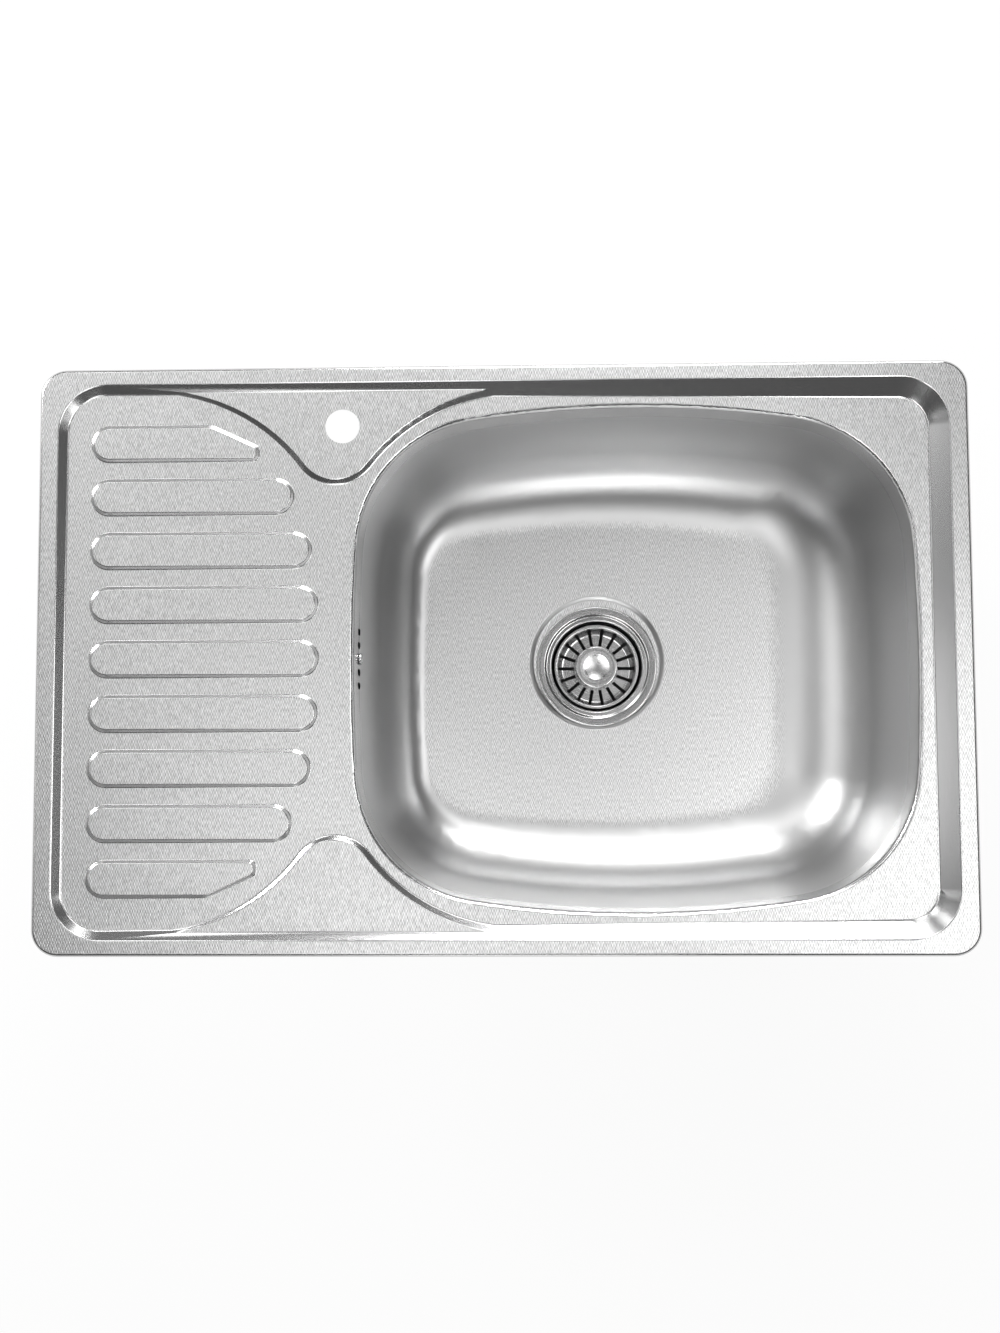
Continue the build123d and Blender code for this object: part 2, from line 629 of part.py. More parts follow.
# Strainer cup: shouldered flange, straight throat, and a floor open round a three-spoked hub
with BuildPart() as strainer_cup:
    lip_z = flange_z + FLANGE_RISE
    land_z = lip_z - SHOULDER_DROP
    with BuildSketch(strainer_section) as wall:
        with BuildLine():
            Polyline(
                (SEAT_RADIUS, cup_floor_z),
                (THROAT_RADIUS, cup_floor_z),
                (THROAT_RADIUS, land_z),
                (SHOULDER_RADIUS - SHOULDER_RUN, land_z),
                (SHOULDER_RADIUS, lip_z - FLANGE_DISH),
                (FLANGE_RADIUS, lip_z),
                (FLANGE_RADIUS, flange_z - FLANGE_EDGE),
                (FLANGE_RADIUS - CUP_SHEET, flange_z - FLANGE_EDGE),
                (FLANGE_RADIUS - CUP_SHEET, flange_z),
                (cup_radius, flange_z),
                (cup_radius, cup_floor_z - CUP_SHEET),
                (SEAT_RADIUS, cup_floor_z - CUP_SHEET),
                close=True,
            )
        make_face()
        fillet(wall.vertices().sort_by_distance((THROAT_RADIUS, cup_floor_z))[0], CUP_BEND)
        fillet(
            wall.vertices().sort_by_distance((cup_radius, cup_floor_z - CUP_SHEET))[0],
            CUP_BEND + CUP_SHEET,
        )
        fillet(wall.vertices().sort_by_distance((FLANGE_RADIUS, lip_z))[0], FLANGE_RISE)
        fillet(wall.vertices().sort_by_distance((SHOULDER_RADIUS, lip_z - FLANGE_DISH))[0], SHOULDER_BEND)
        shoulder_foot = (SHOULDER_RADIUS - SHOULDER_RUN, land_z)
        fillet(wall.vertices().sort_by_distance(shoulder_foot)[0], SHOULDER_BEND)
        fillet(wall.vertices().sort_by_distance((THROAT_RADIUS, land_z))[0], THROAT_BEND)
    revolve(axis=strainer_axis)
    with BuildSketch(Plane(origin=(drain_x, strainer_y, cup_floor_z))):
        Circle(HUB_RADIUS)
        with PolarLocations(SEAT_RADIUS / 2, SPOKE_COUNT):
            Rectangle(SEAT_RADIUS + 2 * CUP_SHEET, SPOKE_WIDTH)
        Circle(CLAMP_SCREW_RADIUS + FIT_GAP, mode=Mode.SUBTRACT)
    extrude(amount=-CUP_SHEET)
strainer_cup.part.label = "strainer_cup"
export_step(strainer_cup.part, "parts/strainer_cup.step")

# Rubber ring between the bowl's underside and the waste body
with BuildPart() as waste_gasket:
    with BuildSketch(Plane(origin=(drain_x, strainer_y, waste_top_z))):
        Circle(waste_bore + GASKET_WIDTH)
        Circle(waste_bore, mode=Mode.SUBTRACT)
    extrude(amount=LOWER_GASKET)
waste_gasket.part.label = "waste_gasket"
export_step(waste_gasket.part, "parts/waste_gasket.step")

# Inside of the waste body, from its mouth through the funnel to the outlet
with BuildPart() as waste_cavity:
    with BuildSketch(strainer_section):
        with BuildLine():
            Polyline(
                (0, waste_top_z),
                (waste_bore, waste_top_z),
                (waste_bore, funnel_top_z),
                (OUTLET_BORE, funnel_foot_z),
                (OUTLET_BORE, funnel_foot_z - OUTLET_LENGTH),
                (0, funnel_foot_z - OUTLET_LENGTH),
                close=True,
            )
        make_face()
    revolve(axis=strainer_axis)

# Spider across the funnel that carries the clamp screw's nut
with BuildPart() as waste_spider:
    with BuildSketch(Plane(origin=(drain_x, strainer_y, boss_foot_z))):
        Circle(BOSS_RADIUS)
        with PolarLocations(waste_bore / 2, RIBS_IN_WASTE, start_angle=180 / RIBS_IN_WASTE):
            Rectangle(waste_bore, WASTE_WALL)
        Circle(CLAMP_SCREW_RADIUS + FIT_GAP, mode=Mode.SUBTRACT)
    extrude(amount=BOSS_HEIGHT)
    add(waste_cavity.part, mode=Mode.INTERSECT)

# Waste body: moulded funnel with a threaded outlet and a side inlet for the overflow
with BuildPart() as waste_body:
    with BuildSketch(strainer_section):
        with BuildLine():
            Polyline(
                (0, waste_top_z),
                (waste_bore + GASKET_WIDTH, waste_top_z),
                (waste_bore + GASKET_WIDTH, waste_top_z - WASTE_FLANGE),
                (waste_radius, waste_top_z - WASTE_FLANGE),
                (waste_radius, funnel_top_z - WASTE_WALL),
                (OUTLET_RADIUS, funnel_foot_z - WASTE_WALL),
                (OUTLET_RADIUS, funnel_foot_z - OUTLET_LENGTH),
                (0, funnel_foot_z - OUTLET_LENGTH),
                close=True,
            )
        make_face()
    revolve(axis=strainer_axis)
    with BuildSketch(spigot_plane):
        Circle(socket_radius)
    extrude(amount=spigot_end)
    add(waste_cavity.part, mode=Mode.SUBTRACT)
    with BuildSketch(spigot_plane.offset(waste_bore / 2)):
        Circle(socket_bore)
    extrude(amount=spigot_end, mode=Mode.SUBTRACT)
    add(waste_spider.part)
waste_body.part.label = "waste_body"
export_step(waste_body.part, "parts/waste_body.step")

# Hollow clamp screw through the strainer hub, slotted, with a bore for the basket's pin
with BuildPart() as clamp_screw:
    screw_end_z = boss_foot_z - INSERT_HEIGHT - CLAMP_SLOT
    with BuildSketch(Plane(origin=(drain_x, strainer_y, cup_floor_z))):
        Circle(CLAMP_HEAD_RADIUS)
    extrude(amount=CLAMP_HEAD_HEIGHT)
    fillet(clamp_screw.faces().sort_by(Axis.Z)[-1].edges(), CUP_SHEET)
    with BuildSketch(Plane(origin=(drain_x, strainer_y, cup_floor_z))):
        Circle(CLAMP_SCREW_RADIUS)
    extrude(amount=screw_end_z - cup_floor_z)
    head_z = cup_floor_z + CLAMP_HEAD_HEIGHT
    with BuildSketch(Plane(origin=(drain_x, strainer_y, head_z))):
        Rectangle(2 * CLAMP_HEAD_RADIUS, CLAMP_SLOT)
    extrude(amount=-CLAMP_SLOT, mode=Mode.SUBTRACT)
    with BuildSketch(Plane(origin=(drain_x, strainer_y, head_z))):
        Circle(CLAMP_BORE)
    extrude(amount=-CLAMP_HEAD_HEIGHT - PIN_LENGTH, mode=Mode.SUBTRACT)
clamp_screw.part.label = "clamp_screw"
export_step(clamp_screw.part, "parts/clamp_screw.step")

# Brass nut under the spider's boss
with BuildPart() as clamp_nut:
    with BuildSketch(Plane(origin=(drain_x, strainer_y, boss_foot_z))):
        RegularPolygon(INSERT_FLATS / 2, 6, major_radius=False)
        Circle(CLAMP_SCREW_RADIUS + PLAY, mode=Mode.SUBTRACT)
    extrude(amount=-INSERT_HEIGHT)
clamp_nut.part.label = "clamp_nut"
export_step(clamp_nut.part, "parts/clamp_nut.step")

# Basket: lipped cup with slots that run from the floor up the wall
lip_top_z = flange_z + FLANGE_RISE - BASKET_DROP
basket_floor_z = lip_top_z - BASKET_HEIGHT
basket_wall = BASKET_RADIUS - BASKET_LIP
with BuildPart() as basket_cup:
    with BuildSketch(strainer_section) as wall:
        with BuildLine():
            Polyline(
                (0, basket_floor_z),
                (basket_wall, basket_floor_z),
                (basket_wall, lip_top_z - BASKET_SHEET),
                (BASKET_RADIUS, lip_top_z - BASKET_SHEET),
                (BASKET_RADIUS, lip_top_z),
                (basket_wall - BASKET_SHEET, lip_top_z),
                (basket_wall - BASKET_SHEET, basket_floor_z + BASKET_SHEET),
                (0, basket_floor_z + BASKET_SHEET),
                close=True,
            )
        make_face()
        fillet(wall.vertices().sort_by_distance((basket_wall, basket_floor_z))[0], BASKET_BEND)
        inner_corner = (basket_wall - BASKET_SHEET, basket_floor_z + BASKET_SHEET)
        fillet(wall.vertices().sort_by_distance(inner_corner)[0], BASKET_BEND - BASKET_SHEET)
        upper_corner = (basket_wall - BASKET_SHEET, lip_top_z)
        fillet(wall.vertices().sort_by_distance(upper_corner)[0], 2 * BASKET_SHEET)
    revolve(axis=strainer_axis)
    with BuildSketch(Plane(origin=(drain_x, strainer_y, basket_floor_z))):
        slot_length = BASKET_RADIUS - BASKET_SLOT_START
        with PolarLocations(BASKET_SLOT_START + slot_length / 2, BASKET_SLOTS):
            Rectangle(slot_length, BASKET_SLOT_WIDTH)
    extrude(amount=BASKET_SLOT_RISE, mode=Mode.SUBTRACT)
    with BuildSketch(Plane(origin=(drain_x, strainer_y, basket_floor_z))):
        Circle(STEM_RADIUS + PLAY)
    extrude(amount=BASKET_SHEET, mode=Mode.SUBTRACT)
basket_cup.part.label = "basket_cup"
export_step(basket_cup.part, "parts/basket_cup.step")

# Knob: a disc with a dished middle, screwed onto the stem
knob_top_z = lip_top_z - KNOB_BELOW_LIP
knob_foot_z = knob_top_z - KNOB_HEIGHT
with BuildPart() as basket_knob:
    with BuildSketch(strainer_section) as disc:
        with BuildLine():
            Line((0, knob_foot_z), (KNOB_RADIUS, knob_foot_z))
            Line((KNOB_RADIUS, knob_foot_z), (KNOB_RADIUS, knob_top_z))
            Line((KNOB_RADIUS, knob_top_z), (KNOB_DISH_RADIUS, knob_top_z))
            TangentArc((0, knob_top_z - KNOB_DISH), (KNOB_DISH_RADIUS, knob_top_z), tangent=(1, 0))
            Line((0, knob_top_z - KNOB_DISH), (0, knob_foot_z))
        make_face()
        edge = disc.vertices().sort_by(Axis.X)[-3:]
        fillet(edge, KNOB_EDGE)
    revolve(axis=strainer_axis)
    with BuildSketch(Plane(origin=(drain_x, strainer_y, knob_foot_z))):
        Circle(STEM_SPIGOT + PLAY)
    extrude(amount=KNOB_HEIGHT / 2, mode=Mode.SUBTRACT)
basket_knob.part.label = "basket_knob"
export_step(basket_knob.part, "parts/basket_knob.step")

# Stem: spigot in the knob, collar on the basket floor, and the pin below
seat_z = cup_floor_z + CLAMP_HEAD_HEIGHT + PLAY
with BuildPart() as basket_stem:
    with BuildSketch(strainer_section):
        collar_foot = basket_floor_z + BASKET_SHEET
        with BuildLine():
            Polyline(
                (0, knob_foot_z + KNOB_HEIGHT / 2 - PLAY),
                (STEM_SPIGOT, knob_foot_z + KNOB_HEIGHT / 2 - PLAY),
                (STEM_SPIGOT, knob_foot_z),
                (STEM_RADIUS, knob_foot_z),
                (STEM_RADIUS, collar_foot + STEM_COLLAR_HEIGHT),
                (STEM_COLLAR, collar_foot + STEM_COLLAR_HEIGHT),
                (STEM_COLLAR, collar_foot),
                (STEM_RADIUS, collar_foot),
                (STEM_RADIUS, seat_z),
                (PIN_RADIUS, seat_z),
                (PIN_RADIUS, seat_z - PIN_LENGTH),
                (0, seat_z - PIN_LENGTH),
                close=True,
            )
        make_face()
    revolve(axis=strainer_axis)
    chamfer(basket_stem.faces().sort_by(Axis.Z)[0].edges(), PIN_RADIUS / 4)
basket_stem.part.label = "basket_stem"
export_step(basket_stem.part, "parts/basket_stem.step")

# Rubber stopper under the basket, hollow over the clamp screw's head
with BuildPart() as basket_stopper:
    foot_z = cup_floor_z + PLAY
    hollow_z = seat_z + CLAMP_SLOT
    with BuildSketch(strainer_section):
        with BuildLine():
            Polyline(
                (STEM_RADIUS + PLAY, basket_floor_z),
                (STOPPER_NECK, basket_floor_z),
                (STOPPER_NECK, hollow_z),
                (STOPPER_RADIUS, foot_z + STOPPER_LIP),
                (STOPPER_RADIUS, foot_z),
                (CLAMP_HEAD_RADIUS + CLAMP_SLOT, foot_z),
                (CLAMP_HEAD_RADIUS + CLAMP_SLOT, hollow_z),
                (STEM_RADIUS + PLAY, hollow_z),
                close=True,
            )
        make_face()
    revolve(axis=strainer_axis)
basket_stopper.part.label = "basket_stopper"
export_step(basket_stopper.part, "parts/basket_stopper.step")

# Spring ring on the pin, which holds the basket up in the clamp screw's bore
with BuildPart() as basket_catch:
    with BuildSketch(Plane(origin=(drain_x, strainer_y, seat_z - PIN_LENGTH / 2))):
        Circle(CLAMP_BORE - PLAY)
        Circle(PIN_RADIUS, mode=Mode.SUBTRACT)
    extrude(amount=-CATCH_HEIGHT)
basket_catch.part.label = "basket_catch"
export_step(basket_catch.part, "parts/basket_catch.step")

# Overflow gasket, its inner face cut to the bowl wall
with BuildPart() as overflow_gasket:
    with BuildSketch(housing_plane):
        RectangleRounded(
            cavity_width + 2 * OVERFLOW_FLANGE, cavity_height + 2 * OVERFLOW_FLANGE, OVERFLOW_FLANGE
        )
        RectangleRounded(cavity_width, cavity_height, OVERFLOW_WALL, mode=Mode.SUBTRACT)
    extrude(amount=-2 * OVERFLOW_GASKET)
    add(under_sheet, mode=Mode.SUBTRACT)
overflow_gasket.part.label = "overflow_gasket"
export_step(overflow_gasket.part, "parts/overflow_gasket.step")

# Overflow housing: flanged box with a screw boss and a socket for the pipe
with BuildPart() as overflow_housing:
    with BuildSketch(housing_plane):
        RectangleRounded(
            cavity_width + 2 * OVERFLOW_FLANGE, cavity_height + 2 * OVERFLOW_FLANGE, OVERFLOW_FLANGE
        )
    extrude(amount=OVERFLOW_WALL)
    with BuildSketch(housing_plane):
        RectangleRounded(
            cavity_width + 2 * OVERFLOW_WALL, cavity_height + 2 * OVERFLOW_WALL, 2 * OVERFLOW_WALL
        )
    extrude(amount=OVERFLOW_DEPTH)
    fillet(overflow_housing.faces().sort_by(Axis.X)[0].edges(), OVERFLOW_WALL)
    with BuildSketch(Plane(origin=(pipe_x, OVERFLOW_Y, slot_z))):
        Circle(socket_radius)
    extrude(amount=socket_end_z - slot_z)
    with BuildSketch(housing_plane):
        RectangleRounded(cavity_width, cavity_height, OVERFLOW_WALL)
    extrude(amount=OVERFLOW_DEPTH - OVERFLOW_WALL, mode=Mode.SUBTRACT)
    with BuildSketch(Plane(origin=(pipe_x, OVERFLOW_Y, slot_z))):
        Circle(socket_bore)
    extrude(amount=socket_end_z - slot_z, mode=Mode.SUBTRACT)
    with BuildSketch(housing_plane):
        Circle(SCREW_RADIUS + OVERFLOW_WALL)
    extrude(amount=OVERFLOW_DEPTH)
    with BuildSketch(housing_plane):
        Circle(SCREW_RADIUS + PLAY)
    extrude(amount=SCREW_LENGTH, mode=Mode.SUBTRACT)
overflow_housing.part.label = "overflow_housing"
export_step(overflow_housing.part, "parts/overflow_housing.step")

# Screw through the middle slot into the housing
head_x = bowl_left + (deck_z - slot_z + SCREW_HEAD_RADIUS) * wall_slope + PLAY / 2
screw_plane = Plane(origin=(head_x, OVERFLOW_Y, slot_z), x_dir=(0, 1, 0), z_dir=(1, 0, 0))
with BuildPart() as overflow_screw:
    with BuildSketch(screw_plane):
        Circle(SCREW_HEAD_RADIUS)
    extrude(amount=SCREW_HEAD_HEIGHT)
    fillet(overflow_screw.faces().sort_by(Axis.X)[-1].edges(), SCREW_HEAD_HEIGHT * 2 / 3)
    with BuildSketch(screw_plane):
        Circle(SCREW_RADIUS)
    extrude(amount=-SCREW_LENGTH)
    with BuildSketch(screw_plane.offset(SCREW_HEAD_HEIGHT)):
        Rectangle(SCREW_HEAD_RADIUS, SCREW_HEAD_HEIGHT / 2)
        Rectangle(SCREW_HEAD_HEIGHT / 2, SCREW_HEAD_RADIUS)
    extrude(amount=-SCREW_HEAD_HEIGHT / 2, mode=Mode.SUBTRACT)
overflow_screw.part.label = "overflow_screw"
export_step(overflow_screw.part, "parts/overflow_screw.step")

# Overflow pipe: down from the housing, round one bend and into the waste body
pipe_start = (pipe_x, OVERFLOW_Y, socket_end_z + PIPE_IN_SOCKET)
pipe_corner = (pipe_x, OVERFLOW_Y, spigot_z)
pipe_end = spigot_plane.offset(spigot_end - PIPE_IN_SOCKET).origin
with BuildPart() as overflow_pipe:
    with BuildLine():
        FilletPolyline(pipe_start, pipe_corner, pipe_end, radius=PIPE_BEND)
    with BuildSketch(Plane(origin=pipe_start, z_dir=(0, 0, -1))):
        Circle(PIPE_RADIUS)
        Circle(PIPE_RADIUS - PIPE_WALL, mode=Mode.SUBTRACT)
    sweep()
overflow_pipe.part.label = "overflow_pipe"
export_step(overflow_pipe.part, "parts/overflow_pipe.step")

# Union nuts and their sealing rings, at the housing's socket and the waste body's inlet
joint_planes = (
    Plane(origin=(pipe_x, OVERFLOW_Y, socket_end_z), x_dir=(1, 0, 0), z_dir=(0, 0, -1)),
    spigot_plane.offset(spigot_end),
)
with BuildPart() as pipe_nuts:
    nut_radius = socket_radius + PLAY + NUT_WALL
    for plane in joint_planes:
        with BuildSketch(plane.offset(-NUT_GRIP)):
            Circle(nut_radius)
            with PolarLocations(nut_radius, NUT_RIBS):
                Circle(NUT_WALL / 2)
        extrude(amount=NUT_GRIP + SEAL_HEIGHT + NUT_WALL)
        with BuildSketch(plane.offset(-NUT_GRIP)):
            Circle(socket_radius + PLAY)
        extrude(amount=NUT_GRIP + SEAL_HEIGHT, mode=Mode.SUBTRACT)
        with BuildSketch(plane):
            Circle(PIPE_RADIUS + FIT_GAP)
        extrude(amount=SEAL_HEIGHT + NUT_WALL, mode=Mode.SUBTRACT)
pipe_nuts.part.label = "pipe_nuts"
export_step(pipe_nuts.part, "parts/pipe_nuts.step")

with BuildPart() as pipe_seals:
    for plane in joint_planes:
        with BuildSketch(plane):
            Circle(socket_radius)
            Circle(PIPE_RADIUS + PLAY, mode=Mode.SUBTRACT)
        extrude(amount=SEAL_HEIGHT)
pipe_seals.part.label = "pipe_seals"
export_step(pipe_seals.part, "parts/pipe_seals.step")
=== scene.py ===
from math import cos, pi, radians, sin

import bpy
from mathutils import Matrix, Vector


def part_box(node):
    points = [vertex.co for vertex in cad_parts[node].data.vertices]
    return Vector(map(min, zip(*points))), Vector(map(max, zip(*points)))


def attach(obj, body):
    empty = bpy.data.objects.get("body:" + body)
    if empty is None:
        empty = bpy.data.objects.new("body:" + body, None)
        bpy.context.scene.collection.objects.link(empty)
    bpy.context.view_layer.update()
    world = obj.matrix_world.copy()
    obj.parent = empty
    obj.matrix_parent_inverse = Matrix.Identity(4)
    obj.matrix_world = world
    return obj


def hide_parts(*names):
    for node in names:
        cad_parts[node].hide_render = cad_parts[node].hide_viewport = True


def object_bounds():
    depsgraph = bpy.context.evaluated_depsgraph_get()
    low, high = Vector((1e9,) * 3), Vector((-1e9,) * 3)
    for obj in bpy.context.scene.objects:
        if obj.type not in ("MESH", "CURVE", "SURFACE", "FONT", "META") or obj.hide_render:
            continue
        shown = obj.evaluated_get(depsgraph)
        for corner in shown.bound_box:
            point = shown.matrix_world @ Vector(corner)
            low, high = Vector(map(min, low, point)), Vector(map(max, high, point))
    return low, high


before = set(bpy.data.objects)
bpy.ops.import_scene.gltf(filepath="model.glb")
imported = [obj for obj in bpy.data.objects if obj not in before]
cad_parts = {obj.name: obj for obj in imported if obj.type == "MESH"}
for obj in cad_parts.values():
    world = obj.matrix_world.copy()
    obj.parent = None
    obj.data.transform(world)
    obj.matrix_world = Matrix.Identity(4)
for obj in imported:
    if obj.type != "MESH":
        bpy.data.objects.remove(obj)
cad_box = [list(corner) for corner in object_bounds()]

# Pressed sheet: one piece of 0.8 mm stainless, rolled all over with a fine linen grain and
# then drawn into the rim, the drainer and the bowl. The press pulls the grain out on every
# bend and on the bowl's walls, which come out smooth and satin.
GRAIN_PITCH = 0.0021
GRAIN_LENGTH = 0.0048837
GRAIN_HEIGHT = 0.0001
WEAVE_SHARE = 0.3
MOTTLE_FINENESS = (700, 320, 700)
NOISE_MIDDLE = 0.5
BEND_FACING = 0.985
FLAT_FACING = 0.998
BOWL_TOP = -0.022
BOWL_WALL = -0.036
BEND_ROUGHNESS = 0.21
SATIN_ROUGHNESS = 0.36
JOIN_GAP = 0.000002


def pick(piece):
    """Makes a piece the only one selected, and the active one."""
    bpy.ops.object.select_all(action="DESELECT")
    piece.select_set(True)
    bpy.context.view_layer.objects.active = piece


def edit_all():
    """Opens edit mode on the active piece, with everything selected."""
    bpy.ops.object.mode_set(mode="EDIT")
    bpy.ops.mesh.select_all(action="SELECT")


def joined_copy(node, name):
    """A copy of a solid's mesh with the corners of its facets joined."""
    piece = bpy.data.objects.new(name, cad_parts[node].data.copy())
    bpy.context.scene.collection.objects.link(piece)
    pick(piece)
    bpy.ops.mesh.customdata_custom_splitnormals_clear()
    edit_all()
    bpy.ops.mesh.remove_doubles(threshold=JOIN_GAP)
    bpy.ops.object.mode_set(mode="OBJECT")
    piece.data.materials.clear()
    return piece


def shade(piece, angle):
    """Rounded faces run into each other and flat ones stay flat."""
    pick(piece)
    bpy.ops.object.shade_smooth_by_angle(angle=radians(angle))
    bpy.ops.object.modifier_add(type="WEIGHTED_NORMAL")
    piece.modifiers[-1].keep_sharp = True
    bpy.ops.object.modifier_apply(modifier=piece.modifiers[-1].name)


def fit(piece, node, body, finish):
    """Puts a finished piece on its body in place of its solid."""
    piece.data.materials.append(finish)
    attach(piece, body)
    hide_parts(node)


def grey(level):
    """A neutral colour."""
    return (level, level, level)


def new_finish(name, colour, metallic, roughness):
    """A material with its plain values set, and its node tree, shader and object coordinates."""
    finish = bpy.data.materials.new(name)
    finish.use_nodes = True
    tree = finish.node_tree
    shader = tree.nodes["Principled BSDF"]
    shader.inputs["Base Color"].default_value = (*colour, 1)
    shader.inputs["Metallic"].default_value = metallic
    shader.inputs["Roughness"].default_value = roughness
    place = tree.nodes.new("ShaderNodeTexCoord").outputs["Object"]
    return finish, tree, shader, place


def math_node(tree, operation, first, second=None):
    """One Math node; a number is set on its socket and a socket is linked to it."""
    node = tree.nodes.new("ShaderNodeMath")
    node.operation = operation
    for socket, value in zip(node.inputs, (first, second)):
        if isinstance(value, bpy.types.NodeSocket):
            tree.links.new(value, socket)
        elif value is not None:
            socket.default_value = value
    return node.outputs[0]


def stretch(tree, place, scale, shift=(0, 0, 0)):
    """Object coordinates shifted and multiplied, for grain that runs one way."""
    node = tree.nodes.new("ShaderNodeMapping")
    node.inputs["Location"].default_value = [-s * f for s, f in zip(shift, scale)]
    node.inputs["Scale"].default_value = scale
    tree.links.new(place, node.inputs["Vector"])
    return node.outputs[0]


def axes_of(tree, vector):
    """The X, Y and Z outputs of a vector."""
    node = tree.nodes.new("ShaderNodeSeparateXYZ")
    tree.links.new(vector, node.inputs[0])
    return node.outputs


def noise_node(tree, place, scale, detail):
    """Noise of a given fineness, between 0 and 1."""
    node = tree.nodes.new("ShaderNodeTexNoise")
    node.inputs["Scale"].default_value = scale
    node.inputs["Detail"].default_value = detail
    tree.links.new(place, node.inputs["Vector"])
    return node.outputs["Fac"]


def spread(tree, value, low, high, to_low, to_high):
    """A value carried from one range to another, and kept inside it."""
    node = tree.nodes.new("ShaderNodeMapRange")
    for name, number in zip(("From Min", "From Max", "To Min", "To Max"), (low, high, to_low, to_high)):
        node.inputs[name].default_value = number
    tree.links.new(value, node.inputs["Value"])
    return node.outputs[0]


def colour_by(tree, shader, value, dark, light):
    """Runs the colour from dark to light with a value."""
    node = tree.nodes.new("ShaderNodeValToRGB")
    node.color_ramp.elements[0].color = (*dark, 1)
    node.color_ramp.elements[1].color = (*light, 1)
    tree.links.new(value, node.inputs["Fac"])
    tree.links.new(node.outputs["Color"], shader.inputs["Base Color"])


def bump(tree, shader, height, distance, strength=1.0):
    """Small relief that the light shows and the mesh doesn't hold."""
    node = tree.nodes.new("ShaderNodeBump")
    node.inputs["Distance"].default_value = distance
    node.inputs["Strength"].default_value = strength
    tree.links.new(height, node.inputs["Height"])
    tree.links.new(node.outputs["Normal"], shader.inputs["Normal"])


linen_steel, tree, shader, place = new_finish("linen_steel", grey(0.62), 1.0, 0.34)
weave = tree.nodes.new("ShaderNodeVectorMath")
weave.operation = "SINE"
waves = stretch(tree, place, (2 * pi / GRAIN_PITCH, 2 * pi / GRAIN_LENGTH, 1))
tree.links.new(waves, weave.inputs[0])
threads = axes_of(tree, weave.outputs[0])
dashes = math_node(tree, "MULTIPLY", threads["X"], threads["Y"])
mottle = noise_node(tree, stretch(tree, place, MOTTLE_FINENESS), scale=1, detail=2)
grain = math_node(
    tree,
    "ADD",
    math_node(tree, "MULTIPLY", dashes, WEAVE_SHARE),
    math_node(tree, "SUBTRACT", mottle, NOISE_MIDDLE),
)
facing = axes_of(tree, tree.nodes.new("ShaderNodeNewGeometry").outputs["Normal"])
flatness = spread(tree, math_node(tree, "ABSOLUTE", facing["Z"]), BEND_FACING, FLAT_FACING, 0, 1)
grain = math_node(tree, "MULTIPLY", grain, flatness)
colour_by(tree, shader, math_node(tree, "ADD", grain, NOISE_MIDDLE), grey(0.32), grey(0.92))
in_bowl = spread(tree, axes_of(tree, place)["Z"], BOWL_TOP, BOWL_WALL, 0, 1)
satin = math_node(tree, "MAXIMUM", in_bowl, flatness)
tree.links.new(spread(tree, satin, 0, 1, BEND_ROUGHNESS, SATIN_ROUGHNESS), shader.inputs["Roughness"])
bump(tree, shader, grain, GRAIN_HEIGHT)

pressed_sheet = joined_copy("sink_shell", "pressed_sheet")
shade(pressed_sheet, angle=40)
fit(pressed_sheet, "sink_shell", "sink", linen_steel)

# Edge foam: a self-adhesive strip of closed-cell foam, stuck under the rim all round. The
# clips squeeze it down on to the worktop, which keeps water out of the cut edge.
FOAM_WIDTH = 0.008
FOAM_CORNER = 0.0188
FOAM_CORNER_STEPS = 12
FOAM_EDGE = 0.0013
FOAM_CLEAR = 0.0001
FOAM_CELLS = 1100
FOAM_PITS = 0.0003


def ease_edges(piece, width, segments, angle):
    """Rounds a piece's edges where its faces meet at more than an angle."""
    bpy.ops.object.modifier_add(type="BEVEL")
    ease = piece.modifiers[-1]
    ease.width = width
    ease.segments = segments
    ease.angle_limit = radians(angle)
    bpy.ops.object.modifier_apply(modifier=ease.name)


low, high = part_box("rim_seal")
bpy.ops.object.select_all(action="DESELECT")
bpy.ops.mesh.primitive_plane_add(size=1, location=(0, 0, 0))
edge_foam = bpy.context.object
edge_foam.name = "edge_foam"
edit_all()
bpy.ops.transform.resize(value=(high.x - low.x, high.y - low.y, 1))
bpy.ops.transform.translate(value=(0, 0, low.z + FOAM_CLEAR))
bpy.ops.mesh.bevel(offset=FOAM_CORNER, segments=FOAM_CORNER_STEPS, affect="VERTICES")
bpy.ops.mesh.inset(thickness=FOAM_WIDTH)
bpy.ops.mesh.delete(type="FACE")
bpy.ops.mesh.select_all(action="SELECT")
bpy.ops.mesh.extrude_region_move(
    TRANSFORM_OT_translate={"value": (0, 0, high.z - low.z - 2 * FOAM_CLEAR)}
)
bpy.ops.mesh.select_all(action="SELECT")
bpy.ops.mesh.normals_make_consistent(inside=False)
bpy.ops.object.mode_set(mode="OBJECT")
ease_edges(edge_foam, FOAM_EDGE, segments=4, angle=60)
shade(edge_foam, angle=35)

foam_strip, tree, shader, place = new_finish("foam_strip", (0.1, 0.1, 0.105), 0.0, 0.95)
cells = tree.nodes.new("ShaderNodeTexVoronoi")
cells.inputs["Scale"].default_value = FOAM_CELLS
tree.links.new(place, cells.inputs["Vector"])
colour_by(tree, shader, cells.outputs["Distance"], (0.045, 0.045, 0.048), (0.15, 0.15, 0.155))
bump(tree, shader, cells.outputs["Distance"], FOAM_PITS, 0.8)
fit(edge_foam, "rim_seal", "sink", foam_strip)

# Sound pads: two mats of bituminous sheet, pressed with a grid of squares and glued under the
# bowl's floor on each side of the waste, where they deaden the drumming of water.
PAD_LENGTH = 0.066
PAD_CELL = 0.008
PAD_GROOVE = 0.0009
PAD_RELIEF = 0.0006
PAD_EDGE = 0.00025
PAD_CLEAR = 0.00005
PAD_PITS = 0.0002
LOOKS_DOWN = -0.5
NOISE_LOW = 0.3
NOISE_HIGH = 0.7


